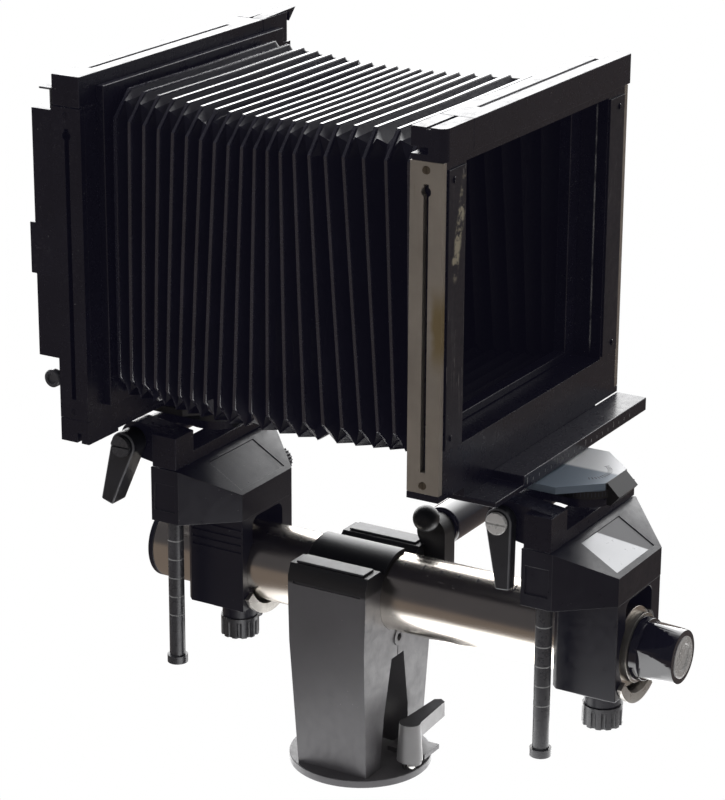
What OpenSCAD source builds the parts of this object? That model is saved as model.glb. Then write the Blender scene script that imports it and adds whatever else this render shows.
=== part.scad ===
// Monorail view camera on a rail clamp with a round foot.
// The origin is the centre of the foot's underside. +Z is up.
// The rail runs along Y, with the lens side at -Y.

/* [Foot and clamp] */
// Diameter of the round foot
foot_d = 72; // [68:1:100]
// Thickness of the foot
foot_t = 4; // [3:0.5:6]
// Diameter of the tripod screw's thread
tripod_d = 9.525; // [6.35:0.005:9.525]
// Length of the clamp along the rail
clamp_len = 44; // [38:1:52]
// Thickness of each clamp jaw beside the rail
jaw_wall = 14; // [13:0.5:16]
// Width across both legs where they meet the foot
leg_foot_w = 56; // [52:1:60]
// Height of the jaw tops above the rail axis
jaw_rise = 17; // [16.5:0.5:18]
// Diameter of the pin that the far jaw swings on
clamp_pin_d = 4; // [3:0.5:4]
// Length of the clamp lever's arm from its spindle
lever_len = 30; // [24:1:38]
// Diameter of the clamp's tightening knob
clamp_knob_d = 20; // [16:1:22]

/* [Rail] */
// Outer diameter of the rail
rail_d = 39; // [37:0.5:40]
// Wall of the rail tube
rail_wall = 3; // [2:0.5:5]
// Height of the rail axis above the ground
rail_axis_z = 95.5; // [94:0.5:105]
// Length of the rail tube in front of the clamp's middle
rail_front = 149; // [145:1:200]
// Length of the rail tube behind the clamp's middle
rail_back = 112; // [108:1:200]

/* [Standards] */
// Distance of the front posts in front of the clamp's middle
front_stand = 119; // [116:1:119]
// Distance of the rear posts behind the clamp's middle
rear_stand = 87; // [85:1:90]
// Width of the bearer round the rail
bearer_w = 46; // [46:1:50]
// Distance of the bearer's front face in front of its posts
bearer_nose = 32; // [30:1:33]
// Diameter of the two sliding posts
post_d = 8; // [7:0.5:9]
// Distance between the two posts
post_gap = 70; // [68:1:74]
// Length of the posts
post_len = 113.5; // [104:0.5:118]
// Diameter of the ribbed lock knob under the bearer
lock_knob_d = 19.5; // [16:0.5:24]
// Diameter of the knurled focusing wheel
focus_wheel_d = 14; // [12:1:20]
// Diameter of the tilt axle
tilt_axle_d = 8; // [7:0.5:9]
// Length of the tilt levers below their axle
tilt_lever_len = 33; // [24:1:38]
// Diameter of the swing dial
dial_d = 39; // [34:1:42]

/* [Frames] */
// Width across a frame with its side plates
frame_w = 182; // [176:1:190]
// Depth of a frame along the rail
frame_depth = 16.2; // [15:0.2:18]
// Width of a frame's upright beside the board opening
stile_w = 17.5; // [16:0.5:19]
// Height of the board opening, less than its width by this much
window_less = 10; // [0:1:20]
// Thickness of a side plate
side_plate_t = 3.5; // [3:0.5:5]
// Height of the sliding top bar
top_bar_h = 14.6; // [12:0.2:18]
// Thickness of the ground glass
glass_t = 3; // [2:0.5:4]

/* [Bellows] */
// Depth of each fold
fold_depth = 12; // [8:0.5:14]
// Number of folds
fold_count = 20; // [12:1:26]
// How far the bellows sags in its middle
bellows_sag = 5; // [0:0.5:8]
// Thickness of the bellows cloth
cloth_t = 0.8; // [0.6:0.1:1.2]

/* [Fits] */
// Radial clearance of turning and sliding fits
fit_gap = 0.05; // [0.02:0.01:0.1]
// Free gap between pieces that pass each other
air_gap = 0.3; // [0.2:0.05:0.4]

/* [Hidden] */
$fn = 64;

// Finishes
black = "#1d1e20";
dark = "#2b2c2f";
silver = "#b9b4a6";
steel = "#9a9a98";

// Overlap of joined shapes, and how far a cut runs past a face
eps = 0.01;
over = 1;

// Rail and clamp
rail_r = rail_d / 2;
rail_top = rail_axis_z + rail_r;
half_len = clamp_len / 2;
jaw_x = rail_r + jaw_wall;
jaw_top = rail_axis_z + jaw_rise;
shoulder_rise = 11;
jaw_shoulder = rail_axis_z + shoulder_rise;
jaw_bevel = 2.5;
jaw_lap = 0.5;
bend_drop = 23.5;
leg_bend = rail_axis_z - bend_drop;
pivot_drop = 24.5;
pivot_z = rail_axis_z - pivot_drop;
pin_recess = 2.5;
knuckle_wall = 2.4;
knuckle_r = clamp_pin_d / 2 + knuckle_wall;
knuckle_half = clamp_len / 6;
vee_drop = 10;
vee_z = pivot_z - vee_drop;
vee_top = 6;
vee_mid = 12;
vee_mid_z = 30;
vee_foot = 14;
collar_t = 2;
collar_reach = 4.5;
slit_depth = 1;
slit_h = 1.5;
slit_drop = 4;
jaw_lift = 1.6;
leg_taper = 2.5;
bush_r = 8;
bush_h = 12;
pad_t = 1.2;
pad_w = 10;
pad_inset = 3;
pad_x = (jaw_x - jaw_bevel + rail_r) / 2;
spindle_r = 3;
spindle_x = -5;
spindle_out = 9.5;
spindle_y = -half_len - spindle_out;
spindle_cap = 3;
hub_r = 6;
hub_taper = 0.6;
hub_rise = 4.7;
hub_low = foot_t + hub_rise;
hub_h = 20;
hub_top = hub_low + hub_h;
arm_h = 8;
arm_root = hub_r - 2 * hub_taper;
arm_tip = 3;
arm_point = 2;
cam_r = 5;
cam_throw = 2;
cam_h = 2.4;
cam_rise = 1.8;
cam_low = foot_t + cam_rise;
cam_rest_gap = 1;
toe_inset = 4;
toe_len = 15;
toe_x = spindle_x + cam_throw + cam_r + cam_rest_gap;
knob_out = 4;
knob_y = -half_len - knob_out;
knob_rise = 6.5;
knob_z = jaw_top + knob_rise;
knob_stud_r = 4;
knob_len = 50;
knob_end = 13;
stud_short = 1;
lug_r = 8;
lug_len = 10;
lug_x = jaw_x - lug_len;
lug_root = 2;
lug_drop = 6;
lug_ball_r = 6.7;
lug_ball_in = 5;
lug_ball_up = 1.5;

// Rail ends
plug_len = 12;
plug_flange = 4;
plug_step = 2.7;
plug_bore_r = 5;
cap_t = 3;
end_knob_r = 15.5;
end_knob_tip_r = 13;
end_knob_len = 21;
end_knob_collar = 4;
end_knob_flat = 13.2;
end_knob_sides = 6;
end_knob_turn = 20;
insert_r = 6;
insert_depth = 1;

// Bearer, measured from its posts
front_y = -front_stand;
rear_y = rear_stand;
bearer_half = bearer_w / 2;
bearer_drop = 20.2;
bearer_low = rail_axis_z - bearer_drop;
bearer_rise = 28.5;
bearer_top = rail_axis_z + bearer_rise;
bearer_tail = 2;
bearer_chamfer = 3;
slot_half = 14;
slot_roof = 1;
slot_top = bearer_top - slot_roof;
slot_corner = 5;
drive_slot_inset = 3;
groove_count = 4;
groove_step = 4;
groove_depth = 0.8;
groove_h = 1.6;
groove_inset = 1;

// Rail shoe, the strap that carries its screw, and the lock knob
jaw_drop = 2;
shoe_t = 3.5;
shoe_half_deg = 46;
shoe_r = rail_r + air_gap;
shoe_out = shoe_r + shoe_t;
shoe_axis = rail_axis_z - jaw_drop;
shoe_back = 2;
lip_t = 2.2;
lip_w = 1.5;
lip_near_deg = 62;
lip_far_deg = 32;
pocket_gap = 0.5;
pocket_half = shoe_out * sin(shoe_half_deg) + pocket_gap;
pocket_top = rail_axis_z - shoe_r * cos(shoe_half_deg) + pocket_gap;
yoke_y = -15;
yoke_half = 7;
strap_t = 3;
strap_r = shoe_out + pocket_gap;
neck_r = 9;
neck_h = 3.5;
neck_top = shoe_axis - strap_r - strap_t / 2;
neck_low = shoe_axis - strap_r - strap_t - neck_h;
stud_r = 3.2;
lock_knob_h = 10.5;
lock_flutes = 12;
flute_r = 1.3;
flute_out = 0.3;
flute_inset = 2;

// Housing above the bearer
block_half = 8;
block_wall = 5;
post_x = post_gap / 2;
post_r = post_d / 2;
block_out = post_x + post_r + block_wall;
block_in = post_x - post_r - block_wall;
panel_depth = 0.8;
panel_inset = 2;
panel_low = 6;
panel_high = 8;
brow_h = 14;
brow_z = bearer_top + brow_h;
roof_h = 28;
ridge_z = bearer_top + roof_h;
roof_run = bearer_nose - block_half;
roof_rise = ridge_z - brow_z;
roof_deg = atan(roof_rise / roof_run);
roof_len = norm([roof_run, roof_rise]);
plate_margin = 3;
plate_half = bearer_half - plate_margin;
plate_len = roof_len - 2 * plate_margin;
plate_t = 1;
plate_depth = 1.4;
focus_y = -9;
focus_rise = 15;
focus_z = rail_top + focus_rise;
drive_r = focus_rise - fit_gap;
drive_half = 3;
drive_room = 0.4;
focus_shaft_r = 2.5;
focus_wheel_w = 5;
wheel_gap = 0.8;
knurl_count = 24;
knurl_r = 0.8;
knurl_out = 0.3;

// Posts and head
post_reach = 7.5;
post_low = ridge_z + post_reach - post_len;
post_foot_h = 4;
post_foot_out = 1.2;
post_foot_r = post_r + post_foot_out;
ring_count = 5;
ring_step = 10;
ring_w = 0.6;
ring_depth = 0.2;
ring_rise = 26;
ring_first = post_low + ring_rise;
head_gap = 0.6;
head_low = ridge_z + head_gap;
bridge_h = 6;
bridge_half = 7;
tilt_y = 19;
tilt_rise = 10.9;
tilt_z = head_low + tilt_rise;
tilt_r = tilt_axle_d / 2;
cheek_wall = 2;
cheek_in = block_in + cheek_wall;
cheek_out = block_out;
near_cheek_h = 16.7;
near_cheek_top = head_low + near_cheek_h;
far_cheek_h = 8;
far_cheek_top = head_low + far_cheek_h;
boss_step = 3.5;
boss_out = block_out - boss_step;
boss_wall = 5;
boss_r = tilt_r + boss_wall;
lever_in = boss_out + air_gap;
front_lever_t = 6.3;
rear_lever_t = 11.5;
lever_boss_r = 6.8;
lever_tip_half = 3.5;
screw_head_r = 5.3;
screw_head_t = 2.4;
screw_slot = 1;
nut_r = 7;
nut_t = 6;
front_lever_deg = -5;
rear_lever_deg = 18;

// Tilt carriage, swing table and shift plate
carriage_half = cheek_in - air_gap;
sleeve_wall = 3.2;
sleeve_r = tilt_r + sleeve_wall;
deck_rise = 1.8;
deck_t = 5.5;
deck_low = tilt_z + deck_rise;
deck_top = deck_low + deck_t;
deck_r = 15;
deck_half = 14;
swing_y = -2;
swing_stud_r = 4;
stud_inset = 0.5;
table_low = deck_top + air_gap;
table_t = 3.9;
table_top = table_low + table_t;
dial_r = dial_d / 2;
slab_t = 3.4;
slab_half = 28;
slab_nose_half = 11;
slab_nose = -18;
slab_bend = -0.5;
nose_half = 10;
nose_run = 6.4;
nose_drop = 6.2;
nose_back = 2.1;
nose_h = 11;
slab_top = table_top + slab_t;
shift_low = slab_top + air_gap;
shift_t = 2.6;
shift_top = shift_low + shift_t;
shelf_h = 6.6;
shelf_top = shift_low + shelf_h;
shelf_depth = 16.1;
shelf_near = -39;
shift_half = 66.5;

// Frames
half_w = frame_w / 2;
core_half = half_w - side_plate_t;
win_half = core_half - stile_w;
window_h = 2 * win_half - window_less;
frame_low = shift_top;
foot_bar_h = 7.4;
foot_bar_top = frame_low + foot_bar_h;
end_in = shift_half + air_gap;
end_lift = 4.4;
end_drop = 4;
end_groove_in = 4.4;
end_groove_w = 2.4;
end_groove_d = 5;
sill_h = 26.7;
sill_top = frame_low + sill_h;
win_top = sill_top + window_h;
lintel_h = 3;
frame_top = win_top + lintel_h;
bar_low = frame_top + air_gap;
bar_top = bar_low + top_bar_h;
bar_lip = 1.2;
bar_slot_w = 2;
bar_slot_d = 1;
bar_slot_inset = 20;
corner_len = 25;
corner_r = 4;
corner_notch_d = 7;
corner_notch_low = 2.8;
corner_notch_h = 3.2;
front_set_back = 26.1;
rear_set_back = 10.5;
front_frame_y = front_y + front_set_back;
rear_frame_y = rear_y + rear_set_back;
front_frame_back = front_frame_y + frame_depth;
rear_frame_back = rear_frame_y + frame_depth;
axis_drop = 1;
axis_z = (sill_top + win_top) / 2 - axis_drop;
strip_t = 0.8;
strip_margin = 1.1;
strip_half = stile_w / 2 - strip_margin;
strip_x = (core_half + win_half) / 2;
strip_end = 1;
plate_gap = 0.2;
plate_low = foot_bar_top + plate_gap;
plate_top = frame_top - plate_gap;
key_w = 2.5;
key_inset_low = 10;
key_inset_high = 10;
key_hole_inset = 13.4;
key_low = plate_low + key_inset_low;
key_high = plate_top - key_inset_high;
key_hole_z = plate_top - key_hole_inset;
key_hole_r = 2.4;
screw_r = 1.5;
screw_len = 4;
screw_cap_r = 1.9;
screw_cap_t = 1;
screw_inset = 3.75;
plate_screw_low = plate_low + screw_inset;
plate_screw_high = plate_top - screw_inset;

// Bellows
bellows_frame_t = 4;
bellows_clear = 9.5;
bellows_rim = 3;
bellows_frame_half = core_half - bellows_clear;
bellows_half = bellows_frame_half - bellows_rim;
bellows_hole_half = bellows_half - fold_depth - bellows_rim;
bellows_y0 = front_frame_back + bellows_frame_t;
bellows_y1 = rear_frame_y - bellows_frame_t;
board_lip = 2;
crest_cut = 12;
valley_cut = 3;

// Ground-glass back
back_gap = 0.4;
back_depth = 12;
back_side = 1;
back_half_w = half_w - back_side;
back_less = 4.65;
back_half_h = window_h / 2 - back_less;
back_lift = 6.1;
back_z = axis_z + back_lift;
back_rail_w = 30;
back_rail_h = 13.5;
back_win_half_w = back_half_w - back_rail_w;
back_win_half_h = back_half_h - back_rail_h;
back_y0 = rear_frame_back + back_gap;
back_y1 = back_y0 + back_depth;
glass_lap = 4;
glass_sink = 1;
glass_half_w = back_win_half_w + glass_lap;
glass_half_h = back_win_half_h + glass_lap;
grip_half = 30;
grip_h = 25;
grip_drop = 20;
grip_t = 3;
stop_r = 2.8;
stop_len = 6;
latch_inset = 7;
latch_w = 9;
latch_t = 1;
latch_h = 10;
latch_lip = 7;
latch_in = 1.5;
latch_z = back_z + back_half_h;
latch_x = -half_w + latch_inset;

// A box given by its low and high ends on each axis
module span(x, y, z) {
    translate([x[0], y[0], z[0]])
        cube([x[1] - x[0], y[1] - y[0], z[1] - z[0]]);
}

// Cylinders along each axis, between two positions
module x_rod(r, x, y, z) {
    translate([x[0], y, z])
        rotate([0, 90, 0])
            cylinder(r = r, h = x[1] - x[0]);
}

module y_rod(r, y, x, z) {
    translate([x, y[1], z])
        rotate([90, 0, 0])
            cylinder(r = r, h = y[1] - y[0]);
}

module z_rod(r, z, x, y) {
    translate([x, y, z[0]])
        cylinder(r = r, h = z[1] - z[0]);
}

// A profile drawn in X and Z, carried along Y
module along_y(y) {
    translate([0, y[1], 0])
        rotate([90, 0, 0])
            linear_extrude(height = y[1] - y[0])
                children();
}

// A profile drawn in Y and Z, carried along X
module along_x(x) {
    translate([x[0], 0, 0])
        rotate([90, 0, 90])
            linear_extrude(height = x[1] - x[0])
                children();
}

module both_sides() {
    children();
    mirror([1, 0, 0])
        children();
}

// Foot and clamp
module base_foot() {
    color(black)
        difference() {
            z_rod(foot_d / 2, [0, foot_t], 0, 0);
            z_rod(bush_r, [-over, foot_t + over], 0, 0);
            z_rod(spindle_r, [-over, foot_t + over], spindle_x, spindle_y);
        }
}

module tripod_bush() {
    color(steel)
        difference() {
            z_rod(bush_r, [0, bush_h], 0, 0);
            z_rod(tripod_d / 2, [-over, bush_h + over], 0, 0);
        }
}

// Outline of one clamp leg with its jaw, on the far side of the rail
module leg_outline(low) {
    polygon([
        [vee_foot, low],
        [leg_foot_w / 2, low],
        [jaw_x, leg_bend],
        [jaw_x, jaw_shoulder],
        [jaw_x - jaw_bevel, jaw_top],
        [rail_r - jaw_lap, jaw_top],
        [air_gap, rail_axis_z],
        [air_gap, vee_z],
        [vee_top, vee_z],
        [vee_mid, vee_mid_z]
    ]);
}

// One leg, narrower along the rail towards the foot
module leg(low) {
    intersection() {
        along_y([-half_len, half_len])
            leg_outline(low);
        along_x([0, jaw_x])
            polygon([
                [-half_len, jaw_top], [-half_len, rail_axis_z], [-half_len + leg_taper, 0],
                [half_len - leg_taper, 0], [half_len, rail_axis_z], [half_len, jaw_top]
            ]);
    }
}

module knuckles(r, grow) {
    y_rod(r, [-half_len - grow, -knuckle_half - air_gap + grow], 0, pivot_z);
    y_rod(r, [knuckle_half + air_gap - grow, half_len + grow], 0, pivot_z);
}

module middle_knuckle(r, grow) {
    y_rod(r, [-knuckle_half - grow, knuckle_half + grow], 0, pivot_z);
}

module clamp_body() {
    color(black)
        difference() {
            union() {
                mirror([1, 0, 0])
                    leg(foot_t);
                knuckles(knuckle_r, 0);
                intersection() {
                    y_rod(rail_r + collar_t, [-half_len, half_len], 0, rail_axis_z);
                    span([-rail_r, collar_reach], [-half_len, half_len], [rail_axis_z, rail_top + collar_t]);
                }
            }
            y_rod(rail_r + fit_gap, [-half_len - over, half_len + over], 0, rail_axis_z);
            middle_knuckle(knuckle_r + air_gap, air_gap);
            y_rod(clamp_pin_d / 2, [-half_len - over, half_len + over], 0, pivot_z);
            jaw_slit();
        }
}

// Shadow slot under the near jaw's top
module jaw_slit() {
    low = jaw_shoulder - slit_drop;
    span([-jaw_x - over, -jaw_x + slit_depth], [-half_len + pad_inset, half_len - pad_inset],
         [low, low + slit_h]);
}

module clamp_jaw() {
    color(black)
        difference() {
            union() {
                leg(foot_t + jaw_lift);
                middle_knuckle(knuckle_r, 0);
                span([toe_x, toe_x + toe_len], [spindle_y - toe_inset, -half_len + 2 * toe_inset],
                     [cam_low, cam_low + cam_h]);
                x_rod(lug_r, [lug_x, jaw_x], knob_y, knob_z);
                span([lug_x, jaw_x], [knob_y - lug_r, -half_len + lug_root],
                     [jaw_shoulder - lug_drop, knob_z]);
                translate([lug_x - lug_ball_in, knob_y, knob_z + lug_r + lug_ball_up])
                    sphere(r = lug_ball_r);
                x_rod(knob_stud_r, [lug_x, jaw_x + knob_len - knob_end - stud_short], knob_y, knob_z);
            }
            y_rod(rail_r + fit_gap, [knob_y - lug_r - over, half_len + over], 0, rail_axis_z);
            knuckles(knuckle_r + air_gap, air_gap);
            y_rod(clamp_pin_d / 2 + fit_gap, [-half_len - over, half_len + over], 0, pivot_z);
        }
}

module clamp_pin() {
    color(steel)
        y_rod(clamp_pin_d / 2, [-half_len + pin_recess, half_len - pin_recess], 0, pivot_z);
}

module clamp_pad(x) {
    color(silver)
        span([x - pad_w / 2, x + pad_w / 2], [-half_len + pad_inset, half_len - pad_inset],
             [jaw_top, jaw_top + pad_t]);
}

module clamp_lever() {
    color(dark)
        difference() {
            union() {
                translate([spindle_x, spindle_y, hub_low])
                    cylinder(r1 = hub_r + hub_taper, r2 = hub_r - hub_taper, h = hub_h);
                z_rod(cam_r, [cam_low, hub_low + eps], spindle_x + cam_throw, spindle_y);
                translate([spindle_x, spindle_y, hub_top - arm_h])
                    linear_extrude(height = arm_h)
                        polygon([[0, -arm_root], [lever_len, -arm_tip], [lever_len + arm_point, 0],
                                 [lever_len, arm_tip], [0, arm_root]]);
            }
            z_rod(spindle_r + fit_gap, [0, hub_top - spindle_cap], spindle_x, spindle_y);
        }
}

module clamp_spindle() {
    color(steel)
        z_rod(spindle_r, [0, hub_top - spindle_cap - air_gap], spindle_x, spindle_y);
}

module clamp_knob() {
    color(black)
        difference() {
            x_rod(clamp_knob_d / 2, [jaw_x + air_gap, jaw_x + knob_len], knob_y, knob_z);
            x_rod(knob_stud_r + fit_gap, [jaw_x - over, jaw_x + knob_len - knob_end], knob_y, knob_z);
        }
}

// Rail
module rail_tube() {
    color(silver)
        difference() {
            y_rod(rail_r, [-rail_front, rail_back], 0, rail_axis_z);
            y_rod(rail_r - rail_wall, [-rail_front - over, rail_back + over], 0, rail_axis_z);
        }
}

module rail_front_plug() {
    color(steel)
        difference() {
            union() {
                y_rod(rail_r - plug_step, [-rail_front - plug_flange, -rail_front], 0, rail_axis_z);
                y_rod(rail_r - rail_wall, [-rail_front - eps, -rail_front + plug_len], 0, rail_axis_z);
            }
            y_rod(plug_bore_r + fit_gap, [-rail_front - plug_flange - over, -rail_front + plug_len + over],
                  0, rail_axis_z);
        }
}

module rail_end_knob() {
    back = -rail_front - plug_flange - air_gap;
    tip = back - end_knob_len;
    color(black)
        difference() {
            union() {
                translate([0, back, rail_axis_z])
                    rotate([90, 0, 0])
                        cylinder(r1 = end_knob_r, r2 = end_knob_tip_r, h = end_knob_len);
                y_rod(plug_bore_r, [back - eps, -rail_front + plug_len], 0, rail_axis_z);
            }
            for (side = [0 : end_knob_sides - 1])
                translate([0, 0, rail_axis_z])
                    rotate([0, side * 360 / end_knob_sides + end_knob_turn, 0])
                        span([-end_knob_r, end_knob_r], [tip - over, back - end_knob_collar],
                             [end_knob_flat, end_knob_r + over]);
            y_rod(insert_r, [tip - over, tip + insert_depth], 0, rail_axis_z);
        }
}

module rail_rear_cap() {
    color(black)
        union() {
            y_rod(rail_r - rail_wall, [rail_back - plug_len, rail_back + eps], 0, rail_axis_z);
            y_rod(rail_r, [rail_back, rail_back + cap_t], 0, rail_axis_z);
        }
}

// Bearer on the rail, with its posts at y
module slot_outline() {
    square_top = slot_top - slot_corner;
    translate([-slot_half, rail_axis_z])
        square([2 * slot_half, square_top - rail_axis_z]);
    translate([-slot_half + slot_corner, rail_axis_z])
        square([2 * (slot_half - slot_corner), slot_top - rail_axis_z]);
    for (side = [-1, 1])
        translate([side * (slot_half - slot_corner), square_top])
            circle(r = slot_corner);
}

module bearer(y, grooved) {
    front = y - bearer_nose;
    tail = y + bearer_tail;
    through = [front - over, tail + over];
    color(black)
        difference() {
            translate([0, 0, bearer_low])
                linear_extrude(height = bearer_top - bearer_low)
                    polygon([
                        [-bearer_half, front], [bearer_half, front],
                        [bearer_half, tail - bearer_chamfer], [bearer_half - bearer_chamfer, tail],
                        [-bearer_half + bearer_chamfer, tail], [-bearer_half, tail - bearer_chamfer]
                    ]);
            y_rod(rail_r + fit_gap, through, 0, rail_axis_z);
            along_y(through)
                slot_outline();
            span([-drive_half - drive_room, drive_half + drive_room],
                 [front + drive_slot_inset, tail + over], [rail_axis_z, bearer_top + over]);
            span([-pocket_half, pocket_half], through, [bearer_low - over, pocket_top]);
            if (grooved)
                for (row = [1 : groove_count])
                    span([-bearer_half - over, -bearer_half + groove_depth],
                         [front + groove_inset, tail - bearer_chamfer - groove_inset],
                         [bearer_top - row * groove_step - groove_h, bearer_top - row * groove_step]);
        }
}

module housing(y) {
    block_y = [y - block_half, y + block_half];
    color(black)
        difference() {
            hull() {
                translate([0, 0, bearer_top])
                    linear_extrude(height = brow_z - bearer_top)
                        polygon([
                            [-block_out, block_y[1]], [-block_out, block_y[0]],
                            [-bearer_half, y - bearer_nose], [bearer_half, y - bearer_nose],
                            [block_out, block_y[0]], [block_out, block_y[1]]
                        ]);
                span([-block_out, block_out], block_y, [brow_z, ridge_z]);
            }
            both_sides()
                z_rod(post_r + fit_gap, [bearer_top - over, ridge_z + over], post_x, y);
            x_rod(drive_r + drive_room, [-drive_half - drive_room, drive_half + drive_room],
                  y + focus_y, focus_z);
            x_rod(focus_shaft_r + fit_gap, [-block_in, block_out + over], y + focus_y, focus_z);
            on_roof(y)
                span([-plate_half, plate_half], [plate_margin, plate_margin + plate_len],
                     [-plate_depth, over]);
            both_sides()
                span([block_out - panel_depth, block_out + over],
                     [block_y[0] + panel_inset, block_y[1] - panel_inset],
                     [bearer_top + panel_low, ridge_z - panel_high]);
        }
}

// Places its children on the sloping roof: the front edge is at 0, Y runs up the slope
module on_roof(y) {
    translate([0, y - bearer_nose, brow_z])
        rotate([roof_deg, 0, 0])
            children();
}

module name_plate(y, tint) {
    color(tint)
        on_roof(y)
            span([-plate_half, plate_half], [plate_margin, plate_margin + plate_len],
                 [-plate_depth, -plate_depth + plate_t]);
}

// A wedge below the shoe's axis, from one angle on the near side to another on the far side
module wedge(near_deg, far_deg) {
    reach = 2 * shoe_out;
    polygon([
        [0, shoe_axis],
        [reach * sin(far_deg), shoe_axis - reach * cos(far_deg)],
        [0, shoe_axis - reach],
        [-reach * sin(near_deg), shoe_axis - reach * cos(near_deg)]
    ]);
}

// Round strap under the rail with the neck that takes the lock screw
module lock_yoke(y) {
    mid = y + yoke_y;
    strap_y = [mid - yoke_half, mid + yoke_half];
    color(black)
        difference() {
            union() {
                intersection() {
                    y_rod(strap_r + strap_t, strap_y, 0, shoe_axis);
                    span([-bearer_half, bearer_half], strap_y, [shoe_axis - 2 * strap_r, bearer_low]);
                }
                z_rod(neck_r, [neck_low, neck_top], 0, mid);
            }
            y_rod(strap_r, [strap_y[0] - over, strap_y[1] + over], 0, shoe_axis);
            z_rod(stud_r + fit_gap, [neck_low - over, neck_top + strap_t], 0, mid);
        }
}

module rail_jaw(y) {
    front = y - bearer_nose - air_gap;
    color(silver)
        difference() {
            union() {
                intersection() {
                    y_rod(shoe_out, [front - lip_t, y - shoe_back], 0, shoe_axis);
                    along_y([front - lip_t, y - shoe_back])
                        wedge(shoe_half_deg, shoe_half_deg);
                }
                intersection() {
                    y_rod(shoe_out + lip_w, [front - lip_t, front], 0, shoe_axis);
                    along_y([front - lip_t, front])
                        wedge(lip_near_deg, lip_far_deg);
                }
            }
            y_rod(shoe_r, [front - lip_t - over, y - shoe_back + over], 0, shoe_axis);
        }
}

module lock_knob(y) {
    top = neck_low - air_gap;
    stud_top = shoe_axis - shoe_out - air_gap;
    color(dark)
        difference() {
            union() {
                z_rod(lock_knob_d / 2, [top - lock_knob_h, top], 0, y + yoke_y);
                z_rod(stud_r, [top - eps, stud_top], 0, y + yoke_y);
            }
            for (turn = [0 : lock_flutes - 1])
                translate([0, y + yoke_y, 0])
                    rotate([0, 0, turn * 360 / lock_flutes])
                        z_rod(flute_r, [top - lock_knob_h - over, top - flute_inset],
                              lock_knob_d / 2 + flute_out, 0);
        }
}

module focus_shaft(y) {
    color(steel)
        union() {
            x_rod(focus_shaft_r, [-block_in + wheel_gap, block_out + wheel_gap], y + focus_y, focus_z);
            x_rod(drive_r, [-drive_half, drive_half], y + focus_y, focus_z);
        }
}

module focus_wheel(y) {
    inner = block_out + wheel_gap;
    color(black)
        difference() {
            x_rod(focus_wheel_d / 2, [inner, inner + focus_wheel_w], y + focus_y, focus_z);
            for (turn = [0 : knurl_count - 1])
                translate([0, y + focus_y, focus_z])
                    rotate([turn * 360 / knurl_count, 0, 0])
                        x_rod(knurl_r, [inner - over, inner + focus_wheel_w + over],
                              0, focus_wheel_d / 2 + knurl_out);
        }
}

// Posts, head and tilt
module post(x, y) {
    difference() {
        union() {
            z_rod(post_r, [post_low, post_low + post_len], x, y);
            z_rod(post_foot_r, [post_low, post_low + post_foot_h], x, y);
        }
        for (ring = [0 : ring_count - 1])
            translate([0, 0, ring_first + ring * ring_step])
                difference() {
                    z_rod(post_r + over, [0, ring_w], x, y);
                    z_rod(post_r - ring_depth, [-over, ring_w + over], x, y);
                }
    }
}

module posts(y) {
    color(dark)
        for (side = [-1, 1])
            post(side * post_x, y);
}

// One cheek of the head with its boss, on the far side
module cheek(y, top) {
    span([cheek_in, cheek_out], [y - bridge_half, y + bridge_half], [head_low, top]);
    along_x([cheek_in, boss_out])
        union() {
            polygon([
                [y - bridge_half, head_low], [y + bridge_half, head_low],
                [y + tilt_y, tilt_z - boss_r], [y + tilt_y, tilt_z + boss_r],
                [y - bridge_half, top]
            ]);
            translate([y + tilt_y, tilt_z])
                circle(r = boss_r);
        }
}

module head(y) {
    color(black)
        difference() {
            union() {
                span([-cheek_out, cheek_out], [y - bridge_half, y + bridge_half],
                     [head_low, head_low + bridge_h]);
                cheek(y, far_cheek_top);
                mirror([1, 0, 0])
                    cheek(y, near_cheek_top);
            }
            both_sides()
                z_rod(post_r, [head_low - over, post_low + post_len], post_x, y);
            x_rod(tilt_r + fit_gap, [-cheek_out - over, cheek_out + over], y + tilt_y, tilt_z);
        }
}

module tilt_axle(y, thick) {
    out = lever_in + thick;
    color(steel)
        difference() {
            union() {
                x_rod(tilt_r, [-out - air_gap - eps, boss_out + nut_t], y + tilt_y, tilt_z);
                x_rod(screw_head_r, [-out - screw_head_t, -out - air_gap], y + tilt_y, tilt_z);
                x_rod(nut_r, [boss_out + fit_gap, boss_out + nut_t], y + tilt_y, tilt_z);
            }
            span([-out - screw_head_t - over, -out - screw_head_t + screw_slot],
                 [y + tilt_y - screw_head_r - over, y + tilt_y + screw_head_r + over],
                 [tilt_z - screw_slot / 2, tilt_z + screw_slot / 2]);
        }
}

module tilt_lever(y, lean, thick) {
    out = lever_in + thick;
    color(dark)
        translate([0, y + tilt_y, tilt_z])
            rotate([lean, 0, 0])
                difference() {
                    along_x([-out, -lever_in])
                        union() {
                            circle(r = lever_boss_r);
                            polygon([
                                [-lever_boss_r, 0], [-lever_tip_half, -tilt_lever_len],
                                [lever_tip_half, -tilt_lever_len], [lever_boss_r, 0]
                            ]);
                        }
                    x_rod(tilt_r + fit_gap, [-out - over, -lever_in + over], 0, 0);
                }
}

module tilt_carriage(y) {
    color(black)
        difference() {
            union() {
                x_rod(sleeve_r, [-carriage_half, carriage_half], y + tilt_y, tilt_z);
                span([-deck_half, deck_half], [y + swing_y, y + tilt_y], [deck_low, deck_top]);
                z_rod(deck_r, [deck_low, deck_top], 0, y + swing_y);
            }
            x_rod(tilt_r + fit_gap, [-carriage_half - over, carriage_half + over], y + tilt_y, tilt_z);
            z_rod(swing_stud_r + fit_gap, [deck_low - over, deck_top + over], 0, y + swing_y);
        }
}

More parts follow.
